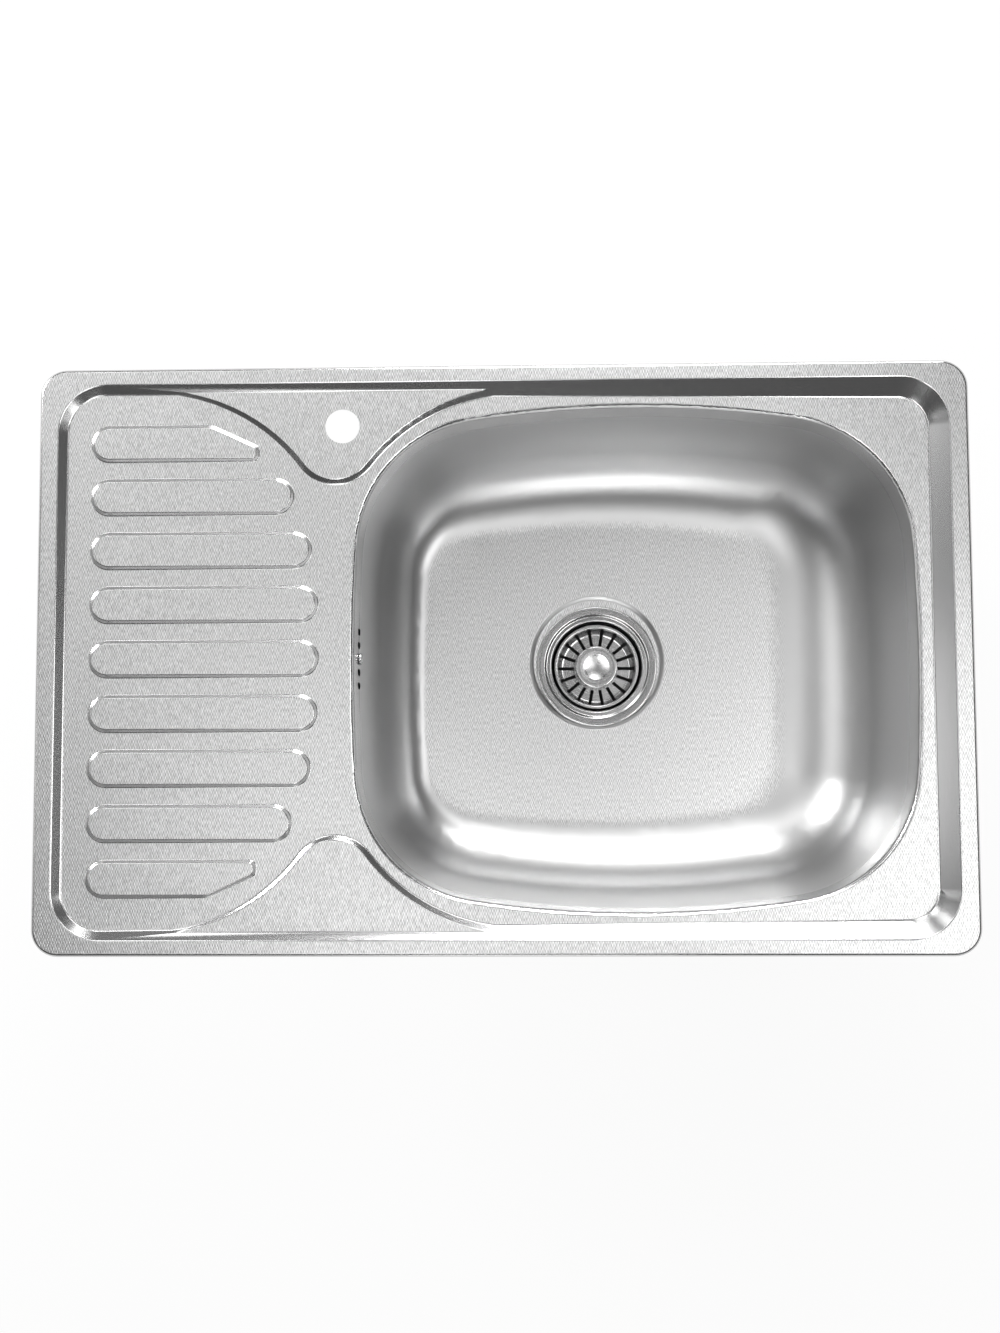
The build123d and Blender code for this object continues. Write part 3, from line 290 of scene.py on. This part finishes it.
def select_lower_faces(piece):
    """Selects the faces that look down, and leaves edit mode on."""
    bpy.ops.object.mode_set(mode="EDIT")
    bpy.ops.mesh.select_mode(type="FACE")
    bpy.ops.mesh.select_all(action="DESELECT")
    bpy.ops.object.mode_set(mode="OBJECT")
    for face in piece.data.polygons:
        face.select = face.normal.z < LOOKS_DOWN
    bpy.ops.object.mode_set(mode="EDIT")


def join_pieces(pieces, name):
    """Several pieces made one, under a new name."""
    bpy.ops.object.select_all(action="DESELECT")
    for piece in pieces:
        piece.select_set(True)
    bpy.context.view_layer.objects.active = pieces[0]
    bpy.ops.object.join()
    pieces[0].name = name
    return pieces[0]


def roughness_by(tree, shader, noise, low, high):
    """Runs the roughness from one value to another with a noise."""
    tree.links.new(spread(tree, noise, NOISE_LOW, NOISE_HIGH, low, high), shader.inputs["Roughness"])


low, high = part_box("sound_pads")
pad_width = high.y - low.y
mats = []
for pad_x in (low.x + PAD_LENGTH / 2, high.x - PAD_LENGTH / 2):
    bpy.ops.object.select_all(action="DESELECT")
    bpy.ops.mesh.primitive_grid_add(
        x_subdivisions=round(PAD_LENGTH / PAD_CELL),
        y_subdivisions=round(pad_width / PAD_CELL),
        size=1,
    )
    mat = bpy.context.object
    edit_all()
    bpy.ops.transform.resize(value=(PAD_LENGTH, pad_width, 1))
    bpy.ops.transform.translate(value=(pad_x, (low.y + high.y) / 2, low.z + PAD_RELIEF))
    bpy.ops.mesh.extrude_region_move(
        TRANSFORM_OT_translate={"value": (0, 0, high.z - low.z - PAD_RELIEF - PAD_CLEAR)}
    )
    bpy.ops.mesh.select_all(action="SELECT")
    bpy.ops.mesh.normals_make_consistent(inside=False)
    bpy.ops.object.mode_set(mode="OBJECT")
    select_lower_faces(mat)
    bpy.ops.mesh.inset(thickness=PAD_GROOVE / 2, use_individual=True)
    bpy.ops.mesh.extrude_region_move(TRANSFORM_OT_translate={"value": (0, 0, -PAD_RELIEF)})
    bpy.ops.object.mode_set(mode="OBJECT")
    ease_edges(mat, PAD_EDGE, segments=2, angle=50)
    mats.append(mat)
damping_mats = join_pieces(mats, "damping_mats")
bpy.ops.object.transform_apply(location=True, rotation=True, scale=True)
shade(damping_mats, angle=35)

damping_sheet, tree, shader, place = new_finish("damping_sheet", (0.05, 0.05, 0.052), 0.0, 0.8)
flecks = noise_node(tree, place, scale=420, detail=6)
colour_by(tree, shader, flecks, (0.02, 0.02, 0.021), (0.09, 0.09, 0.092))
roughness_by(tree, shader, flecks, 0.88, 0.62)
bump(tree, shader, noise_node(tree, place, scale=1500, detail=3), PAD_PITS, 0.6)
fit(damping_mats, "sound_pads", "sink", damping_sheet)

# Clip brackets: six U-shaped straps of zinc-plated steel, bent up from strip and spot-welded
# by their feet under the sheet. Each carries a hexagon nut welded over the hole in its bridge.
STRAP_EDGE = 0.00025
FLAT_ANGLE = 0.4
SHARP_ANGLE = 40
PLATING_GRAIN = 0.00002


def eased_copy(node, name, edge, smooth=35):
    """A joined copy whose flat facets become single faces and whose sharp edges are eased."""
    piece = joined_copy(node, name)
    edit_all()
    bpy.ops.mesh.dissolve_limited(angle_limit=radians(FLAT_ANGLE))
    bpy.ops.object.mode_set(mode="OBJECT")
    ease_edges(piece, edge, segments=2, angle=SHARP_ANGLE)
    edit_all()
    bpy.ops.mesh.quads_convert_to_tris(quad_method="BEAUTY", ngon_method="BEAUTY")
    bpy.ops.object.mode_set(mode="OBJECT")
    shade(piece, smooth)
    return piece


zinc_plate, tree, shader, place = new_finish("zinc_plate", (0.62, 0.63, 0.64), 1.0, 0.32)
bloom = noise_node(tree, place, scale=180, detail=5)
colour_by(tree, shader, bloom, (0.50, 0.51, 0.53), (0.72, 0.73, 0.73))
roughness_by(tree, shader, noise_node(tree, place, scale=900, detail=3), 0.24, 0.42)
bump(tree, shader, noise_node(tree, place, scale=2500, detail=2), PLATING_GRAIN, 0.5)

clip_brackets = eased_copy("clip_hangers", "clip_brackets", STRAP_EDGE)
fit(clip_brackets, "clip_hangers", "sink", zinc_plate)
bracket_nuts = eased_copy("clip_nuts", "bracket_nuts", STRAP_EDGE)
fit(bracket_nuts, "clip_nuts", "sink", zinc_plate)

# Clip bolts: zinc-plated M6 bolts with a washer collar forged under the hexagon head, run up
# through the claws into the nuts. The thread is rolled, and the bolt's upper end is chamfered.
CLIPS = range(1, 7)
BOLT_RADIUS = 0.0029
BOLT_ROOT = 0.0024
BOLT_PITCH = 0.001
BOLT_CHAMFER = 0.0004
BOLT_FILLET = 0.0004
BOLT_BARE_FOOT = 0.002
BOLT_BARE_TIP = 0.0012
BOLT_COLLAR = 0.007
BOLT_COLLAR_HEIGHT = 0.0015
COLLAR_EDGE = 0.0003
COLLAR_UPPER_EDGE = 0.0002
BOLT_HEAD_HEIGHT = 0.0048
BOLT_FLATS = 0.010
HEAD_CHAMFER = 0.0007
HEAD_OVERLAP = 0.0001
BOLT_STEPS = 32
BOLT_THREAD_STEPS = 16
SEED_SIZE = 0.001
SEAM_GAP = 0.000001

# Shares of a thread's pitch, and of a hexagon's chamfer or width across flats.
THREAD_FLANK = 0.36
THREAD_LAND = 0.16
THREAD_BURIED = 0.1
CHAMFER_FALL = 0.55
DISH_INSET = 0.22
DISH_DEPTH = 0.5


def draw_section(name, points):
    """A new piece that is a line through points, each given as a radius and a height."""
    bpy.ops.object.select_all(action="DESELECT")
    bpy.ops.mesh.primitive_plane_add(size=SEED_SIZE)
    piece = bpy.context.object
    piece.name = name
    bpy.ops.object.mode_set(mode="EDIT")
    bpy.ops.mesh.select_mode(type="VERT")
    bpy.ops.mesh.select_all(action="SELECT")
    bpy.ops.mesh.merge(type="CENTER")
    bpy.ops.transform.translate(value=(points[0][0], 0, points[0][1]))
    for (radius, height), (next_radius, next_height) in zip(points, points[1:]):
        bpy.ops.mesh.extrude_region_move(
            TRANSFORM_OT_translate={"value": (next_radius - radius, 0, next_height - height)}
        )
    return piece


def turned(name, points, steps):
    """A section turned round the Z axis into a closed piece."""
    piece = draw_section(name, points)
    bpy.ops.mesh.select_all(action="SELECT")
    bpy.ops.mesh.spin(steps=steps, angle=2 * pi, center=(0, 0, 0), axis=(0, 0, 1))
    bpy.ops.mesh.select_all(action="SELECT")
    bpy.ops.mesh.remove_doubles(threshold=SEAM_GAP)
    bpy.ops.mesh.normals_make_consistent(inside=False)
    bpy.ops.object.mode_set(mode="OBJECT")
    return piece


def thread_ridge(name, root, crest, pitch, foot, turns, steps):
    """The ridge of a screw thread, round the Z axis from a foot height up."""
    buried = root - THREAD_BURIED * pitch
    flank = THREAD_FLANK * pitch
    land = THREAD_LAND * pitch
    piece = draw_section(
        name,
        (
            (buried, foot),
            (crest, foot + flank),
            (crest, foot + flank + land),
            (buried, foot + flank + land + flank),
        ),
    )
    bpy.ops.mesh.select_all(action="SELECT")
    bpy.ops.mesh.edge_face_add()
    bpy.ops.mesh.delete(type="ONLY_FACE")
    bpy.ops.object.mode_set(mode="OBJECT")
    bpy.ops.object.modifier_add(type="SCREW")
    wind = piece.modifiers[-1]
    wind.axis = "Z"
    wind.angle = 2 * pi
    wind.screw_offset = pitch
    wind.iterations = turns
    wind.steps = steps
    wind.render_steps = steps
    bpy.ops.object.modifier_apply(modifier=wind.name)
    edit_all()
    bpy.ops.mesh.remove_doubles(threshold=SEAM_GAP)
    bpy.ops.mesh.select_all(action="SELECT")
    bpy.ops.mesh.fill_holes(sides=4)
    bpy.ops.mesh.select_all(action="SELECT")
    bpy.ops.mesh.normals_make_consistent(inside=False)
    bpy.ops.object.mode_set(mode="OBJECT")
    return piece


def hexagon(name, flats, foot, top, chamfer):
    """A hexagon bar with its lower rim chamfered and its lower face dished."""
    fall = CHAMFER_FALL * chamfer
    bpy.ops.object.select_all(action="DESELECT")
    bpy.ops.mesh.primitive_cylinder_add(
        vertices=6,
        radius=flats / 2 / cos(pi / 6),
        depth=top - foot - fall,
        location=(0, 0, (foot + fall + top) / 2),
    )
    piece = bpy.context.object
    piece.name = name
    bpy.ops.object.transform_apply(location=True, rotation=True, scale=True)
    select_lower_faces(piece)
    bpy.ops.mesh.inset(thickness=chamfer, depth=fall)
    bpy.ops.mesh.inset(thickness=DISH_INSET * flats, depth=-DISH_DEPTH * chamfer)
    bpy.ops.object.mode_set(mode="OBJECT")
    return piece


low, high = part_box("clip_screw_1")
head_top = low.z + BOLT_HEAD_HEIGHT
collar_top = head_top + BOLT_COLLAR_HEIGHT
thread_length = high.z - collar_top - (BOLT_BARE_FOOT + BOLT_BARE_TIP)
bolt_shank = turned(
    "bolt_shank",
    (
        (0, high.z),
        (BOLT_ROOT - BOLT_CHAMFER, high.z),
        (BOLT_ROOT, high.z - 2 * BOLT_CHAMFER),
        (BOLT_ROOT, collar_top + BOLT_FILLET),
        (BOLT_ROOT + BOLT_FILLET, collar_top),
        (BOLT_COLLAR - COLLAR_UPPER_EDGE, collar_top),
        (BOLT_COLLAR, collar_top - COLLAR_EDGE),
        (BOLT_COLLAR, head_top + COLLAR_EDGE),
        (BOLT_COLLAR - COLLAR_EDGE, head_top),
        (0, head_top),
    ),
    BOLT_STEPS,
)
bolt_thread = thread_ridge(
    "bolt_thread",
    BOLT_ROOT,
    BOLT_RADIUS,
    BOLT_PITCH,
    collar_top + BOLT_BARE_FOOT,
    int(thread_length / BOLT_PITCH),
    BOLT_THREAD_STEPS,
)
bolt_head = hexagon("bolt_head", BOLT_FLATS, low.z, head_top + HEAD_OVERLAP, HEAD_CHAMFER)
bolt_pattern = join_pieces((bolt_shank, bolt_thread, bolt_head), "bolt_pattern")
shade(bolt_pattern, angle=32)
for k in CLIPS:
    low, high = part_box(f"clip_screw_{k}")
    bolt = bpy.data.objects.new(f"clip_bolt_{k}", bolt_pattern.data.copy())
    bpy.context.scene.collection.objects.link(bolt)
    bolt.data.transform(Matrix.Translation(((low.x + high.x) / 2, (low.y + high.y) / 2, 0)))
    fit(bolt, f"clip_screw_{k}", f"clip_screw_{k}", zinc_plate)
bpy.data.objects.remove(bolt_pattern)

# Clip claws: strips of thicker zinc-plated steel, pierced for the bolt and bent up at the heel
# and at the notched tip, which bites up under the worktop when its bolt is run in.
CLAW_EDGE = 0.0004

for k in CLIPS:
    claw = eased_copy(f"clip_claw_{k}", f"clip_hook_{k}", CLAW_EDGE)
    fit(claw, f"clip_claw_{k}", f"clip_claw_{k}", zinc_plate)

# Strainer cup: spun from polished stainless, with a broad flange that sits in the drain's
# recess, a bright rolled shoulder and a throat. Below the basket the cup is left as drawn and dull, and
# its colour is darkened nearly to black there as painted shade under the basket.
CUP_POLISHED_AND_UNSHADED = -0.192
CUP_DULL_AND_SHADED = -0.203
BRIGHT_ROUGHNESS = 0.17
DULL_ROUGHNESS = 0.5

low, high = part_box("strainer_cup")
drain_axis = Vector(((low.x + high.x) / 2, (low.y + high.y) / 2, 0))


def turned_lines(tree, place, fineness):
    """Noise in rings round the drain's axis, as a tool leaves on a turned face."""
    centred = stretch(tree, place, (1, 1, 1), drain_axis)
    flat = stretch(tree, centred, (1, 1, 0))
    length = tree.nodes.new("ShaderNodeVectorMath")
    length.operation = "LENGTH"
    tree.links.new(flat, length.inputs[0])
    rings = tree.nodes.new("ShaderNodeCombineXYZ")
    tree.links.new(length.outputs["Value"], rings.inputs["X"])
    tree.links.new(axes_of(tree, place)["Z"], rings.inputs["Z"])
    return noise_node(tree, rings.outputs[0], fineness, detail=2)


spun_steel, tree, shader, place = new_finish("spun_steel", grey(0.78), 1.0, BRIGHT_ROUGHNESS)
lines = turned_lines(tree, place, fineness=2600)
height = axes_of(tree, place)["Z"]
# Painted shade: the cup's colour runs from light down to near black below the basket, and the turned
# lines vary it a little.
shade_and_tool_lines = math_node(
    tree,
    "MULTIPLY",
    spread(tree, height, CUP_DULL_AND_SHADED, CUP_POLISHED_AND_UNSHADED, 0, 1),
    spread(tree, lines, NOISE_LOW, NOISE_HIGH, 0.82, 1),
)
colour_by(tree, shader, shade_and_tool_lines, grey(0.05), grey(0.80))
dulled = spread(tree, height, CUP_DULL_AND_SHADED, CUP_POLISHED_AND_UNSHADED, DULL_ROUGHNESS, BRIGHT_ROUGHNESS)
scored = spread(tree, lines, NOISE_LOW, NOISE_HIGH, -0.02, 0.05)
tree.links.new(math_node(tree, "ADD", dulled, scored), shader.inputs["Roughness"])

strainer_bowl = joined_copy("strainer_cup", "strainer_bowl")
shade(strainer_bowl, angle=35)
fit(strainer_bowl, "strainer_cup", "sink", spun_steel)

# Waste seals: rings of black rubber, one bedded under the strainer's flange and a thicker one
# squeezed up against the bowl from below.
SEAL_EDGE = 0.0003
RUBBER_GRAIN = 0.00004

black_rubber, tree, shader, place = new_finish("black_rubber", (0.035, 0.035, 0.037), 0.0, 0.6)
skin = noise_node(tree, place, scale=700, detail=4)
colour_by(tree, shader, skin, (0.022, 0.022, 0.023), (0.05, 0.05, 0.052))
roughness_by(tree, shader, skin, 0.5, 0.7)
bump(tree, shader, noise_node(tree, place, scale=2600, detail=2), RUBBER_GRAIN, 0.5)

for node, name in (("strainer_gasket", "upper_seal"), ("waste_gasket", "lower_seal")):
    seal = eased_copy(node, name, SEAL_EDGE)
    fit(seal, node, "sink", black_rubber)

# Waste body: a pot moulded in white polypropylene, drawn up under the bowl by the clamp screw.
# Its funnel ends in a threaded outlet for the trap, and a spigot on its side takes the overflow.
OUTLET_RADIUS = 0.0239
OUTLET_ROOT = 0.0228
OUTLET_PITCH = 0.0023
OUTLET_TOP = -0.253
OUTLET_BARE = 0.002
OUTLET_SKIN = 0.0006
OUTLET_THREAD_STEPS = 64
MOULD_EDGE = 0.0004
MOULD_SMOOTH = 32
MOULD_GRAIN = 0.00002

white_plastic, tree, shader, place = new_finish("white_plastic", (0.8, 0.8, 0.78), 0.0, 0.42)
flow = noise_node(tree, place, scale=45, detail=4)
colour_by(tree, shader, flow, (0.76, 0.76, 0.735), (0.83, 0.83, 0.81))
roughness_by(tree, shader, noise_node(tree, place, scale=500, detail=3), 0.36, 0.5)
bump(tree, shader, noise_node(tree, place, scale=3000, detail=2), MOULD_GRAIN, 0.5)

low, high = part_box("waste_body")
waste_pot = eased_copy("waste_body", "waste_pot", MOULD_EDGE, MOULD_SMOOTH)
bpy.ops.object.mode_set(mode="EDIT")
bpy.ops.mesh.select_mode(type="VERT")
bpy.ops.mesh.select_all(action="DESELECT")
bpy.ops.object.mode_set(mode="OBJECT")
for corner in waste_pot.data.vertices:
    outside = abs((corner.co - drain_axis).xy.length - OUTLET_RADIUS) < OUTLET_SKIN
    corner.select = outside and corner.co.z < OUTLET_TOP
bpy.ops.object.mode_set(mode="EDIT")
shrink = OUTLET_ROOT / OUTLET_RADIUS
bpy.ops.transform.resize(value=(shrink, shrink, 1), center_override=drain_axis)
bpy.ops.object.mode_set(mode="OBJECT")
outlet_thread = thread_ridge(
    "outlet_thread",
    OUTLET_ROOT,
    OUTLET_RADIUS,
    OUTLET_PITCH,
    low.z + OUTLET_BARE,
    int((OUTLET_TOP - low.z - OUTLET_BARE) / OUTLET_PITCH),
    OUTLET_THREAD_STEPS,
)
outlet_thread.data.transform(Matrix.Translation(drain_axis))
shade(outlet_thread, MOULD_SMOOTH)
waste_pot = join_pieces((waste_pot, outlet_thread), "waste_pot")
fit(waste_pot, "waste_body", "sink", white_plastic)

# Clamp screw and its insert: a slotted stainless screw through the strainer's hub, run into a
# brass hexagon that is moulded into the waste body's boss.
TURNED_EDGE = 0.0003

turned_steel, tree, shader, place = new_finish("turned_steel", grey(0.72), 1.0, 0.2)
cuts = turned_lines(tree, place, fineness=3000)
colour_by(tree, shader, cuts, grey(0.62), grey(0.78))
roughness_by(tree, shader, cuts, 0.14, 0.28)
waste_bolt = eased_copy("clamp_screw", "waste_bolt", TURNED_EDGE)
fit(waste_bolt, "clamp_screw", "sink", turned_steel)

turned_brass, tree, shader, place = new_finish("turned_brass", (0.72, 0.56, 0.28), 1.0, 0.28)
cuts = turned_lines(tree, place, fineness=3000)
colour_by(tree, shader, cuts, (0.62, 0.46, 0.21), (0.80, 0.63, 0.33))
roughness_by(tree, shader, cuts, 0.2, 0.36)
waste_insert = eased_copy("clamp_nut", "waste_insert", TURNED_EDGE)
fit(waste_insert, "clamp_nut", "sink", turned_brass)

# Basket: pressed from polished stainless and pierced with eighteen slots, with a turned and
# dished knob held to its floor by a stem. The whole of it lifts straight out of the strainer.
bright_steel, tree, shader, place = new_finish("bright_steel", grey(0.78), 1.0, 0.2)
polish = turned_lines(tree, place, fineness=2200)
colour_by(tree, shader, polish, grey(0.70), grey(0.84))
roughness_by(tree, shader, polish, 0.15, 0.26)
for node, name in (
    ("basket_cup", "lift_out_basket"),
    ("basket_knob", "basket_handle"),
    ("basket_stem", "basket_spindle"),
):
    piece = joined_copy(node, name)
    shade(piece, angle=35)
    fit(piece, node, "basket", bright_steel)

# Plug and catch: a rubber plug under the basket closes the strainer's seat when the basket is
# pushed down, and a nylon ring snapped on the stem's end holds the plug on.
rubber_plug = joined_copy("basket_stopper", "rubber_plug")
shade(rubber_plug, angle=40)
fit(rubber_plug, "basket_stopper", "basket", black_rubber)

natural_nylon, tree, shader, place = new_finish("natural_nylon", (0.74, 0.73, 0.68), 0.0, 0.4)
cloud = noise_node(tree, place, scale=160, detail=4)
colour_by(tree, shader, cloud, (0.69, 0.68, 0.62), (0.78, 0.77, 0.72))
roughness_by(tree, shader, cloud, 0.34, 0.46)
spindle_catch = eased_copy("basket_catch", "spindle_catch", SEAL_EDGE)
fit(spindle_catch, "basket_catch", "basket", natural_nylon)

# Overflow: a moulded box behind the slots in the bowl's wall, sealed by a rubber gasket and
# held by one screw through the middle slot. A pipe leads from it to the waste, pushed into
# two sockets and held there by ribbed nuts over rubber rings.
overflow_seal = eased_copy("overflow_gasket", "overflow_seal", SEAL_EDGE)
fit(overflow_seal, "overflow_gasket", "sink", black_rubber)
for node, name in (
    ("overflow_housing", "overflow_box"),
    ("overflow_pipe", "overflow_tube"),
    ("pipe_nuts", "tube_nuts"),
):
    piece = eased_copy(node, name, MOULD_EDGE, MOULD_SMOOTH)
    fit(piece, node, "sink", white_plastic)
tube_seals = joined_copy("pipe_seals", "tube_seals")
shade(tube_seals, angle=35)
fit(tube_seals, "pipe_seals", "sink", black_rubber)

screw_steel, tree, shader, place = new_finish("screw_steel", grey(0.76), 1.0, 0.18)
marks = noise_node(tree, stretch(tree, place, (400, 1600, 1600)), scale=1, detail=3)
colour_by(tree, shader, marks, grey(0.66), grey(0.82))
roughness_by(tree, shader, marks, 0.12, 0.26)
overflow_bolt = eased_copy("overflow_screw", "overflow_bolt", TURNED_EDGE)
fit(overflow_bolt, "overflow_screw", "sink", screw_steel)

# Floor: plain and pale, nearly white to the camera and in the metal. The small share of it
# that doesn't glow is a pale grey, which keeps the sink's soft shadow.
FLOOR_SIZE = 8
FLOOR_GAP = 0.001
FLOOR_WHITE = 0.92

bpy.ops.object.select_all(action="DESELECT")
bpy.ops.mesh.primitive_plane_add(size=FLOOR_SIZE, location=(0, 0, cad_box[0][2] - FLOOR_GAP))
floor = bpy.context.object
floor.name = "floor"
pale_floor, tree, shader, place = new_finish("pale_floor", grey(0.9), 0.0, 0.8)
path = tree.nodes.new("ShaderNodeLightPath").outputs
seen = math_node(
    tree,
    "MAXIMUM",
    math_node(tree, "MAXIMUM", path["Is Camera Ray"], path["Is Glossy Ray"]),
    path["Is Transmission Ray"],
)
glow = tree.nodes.new("ShaderNodeEmission")
glow.inputs["Color"].default_value = (1, 1, 1, 1)
glow.inputs["Strength"].default_value = 1
shown = tree.nodes.new("ShaderNodeMixShader")
tree.links.new(math_node(tree, "MULTIPLY", seen, FLOOR_WHITE), shown.inputs["Fac"])
tree.links.new(shader.outputs[0], shown.inputs[1])
tree.links.new(glow.outputs[0], shown.inputs[2])
tree.links.new(shown.outputs[0], tree.nodes["Material Output"].inputs["Surface"])
floor.data.materials.append(pale_floor)

# Studio: a white backdrop all round, which falls off to a dim ceiling, so that the polished
# bends have something light and something dark to show.
BACKDROP_TOP = 0.18
CEILING_START = 0.40
CEILING = 0.08

world = bpy.data.worlds.new("studio")
bpy.context.scene.world = world
world.use_nodes = True
tree = world.node_tree
way = axes_of(tree, tree.nodes.new("ShaderNodeTexCoord").outputs["Generated"])
backdrop = tree.nodes["Background"]
backdrop.inputs["Color"].default_value = (1, 1, 1, 1)
tree.links.new(
    spread(tree, way["Z"], BACKDROP_TOP, CEILING_START, 1, CEILING), backdrop.inputs["Strength"]
)

# Softboxes: square soft lamps round the sink, turned to its middle, as a product studio has.
# The high ones light the deck and the bowl's floor, and the low ones the bowl's walls.
LAMP_DISTANCE = 2.6
LAMP_SIZE = 0.6


def softbox(name, zenith, azimuth, watts):
    """A lamp tipped from straight overhead by one angle and swung round from +X by another."""
    tip, swing = radians(zenith), radians(azimuth)
    spot = LAMP_DISTANCE * Vector((sin(tip) * cos(swing), sin(tip) * sin(swing), cos(tip)))
    bpy.ops.object.light_add(type="AREA", location=spot)
    lamp = bpy.context.object
    lamp.name = name
    lamp.data.shape = "SQUARE"
    lamp.data.size = LAMP_SIZE
    lamp.data.energy = watts
    lamp.rotation_euler = spot.to_track_quat("Z", "Y").to_euler()
    lamp.visible_camera = False


softbox("over_right", zenith=13, azimuth=0, watts=1.5)
softbox("over_left", zenith=13, azimuth=180, watts=2.2)
softbox("over_front", zenith=13, azimuth=240, watts=3.5)
softbox("high_right", zenith=26, azimuth=0, watts=5)
softbox("high_back", zenith=26, azimuth=72, watts=4)
softbox("high_left", zenith=26, azimuth=150, watts=1.3)
softbox("high_front", zenith=26, azimuth=252, watts=3)
softbox("high_front_right", zenith=26, azimuth=324, watts=6)
softbox("back", zenith=39, azimuth=90, watts=6)
softbox("back_left", zenith=39, azimuth=125, watts=4)
softbox("left", zenith=52, azimuth=180, watts=2)
softbox("low_back", zenith=65, azimuth=90, watts=25)
softbox("low_back_right", zenith=65, azimuth=75, watts=16)
softbox("low_left", zenith=65, azimuth=150, watts=35)
softbox("low_front", zenith=65, azimuth=270, watts=3)

# Camera: above the bowl, tipped a few degrees, at the photograph's distance and view. Its focal
# length is given in the photograph's pixels, and its turns about X, Y and Z in radians.
PHOTO_HEIGHT = 1333
FOCAL_LENGTH = 1616
SENSOR = 36
CAMERA_PLACE = (0.037868, -0.111354, 1.305739)
CAMERA_PITCH = -0.0791889
CAMERA_YAW = -0.0302846
CAMERA_ROLL = 0.0037214

camera = bpy.data.objects.new("camera", bpy.data.cameras.new("camera"))
bpy.context.scene.collection.objects.link(camera)
camera.data.sensor_fit = "AUTO"
camera.data.sensor_width = SENSOR
camera.data.lens = FOCAL_LENGTH / PHOTO_HEIGHT * SENSOR
turn = (
    Matrix.Rotation(CAMERA_PITCH, 3, "X")
    @ Matrix.Rotation(CAMERA_YAW, 3, "Y")
    @ Matrix.Rotation(CAMERA_ROLL, 3, "Z")
)
camera.matrix_world = Matrix.Translation(CAMERA_PLACE) @ turn.transposed().to_4x4()
bpy.context.scene.camera = camera
bpy.context.scene.view_settings.view_transform = "Standard"
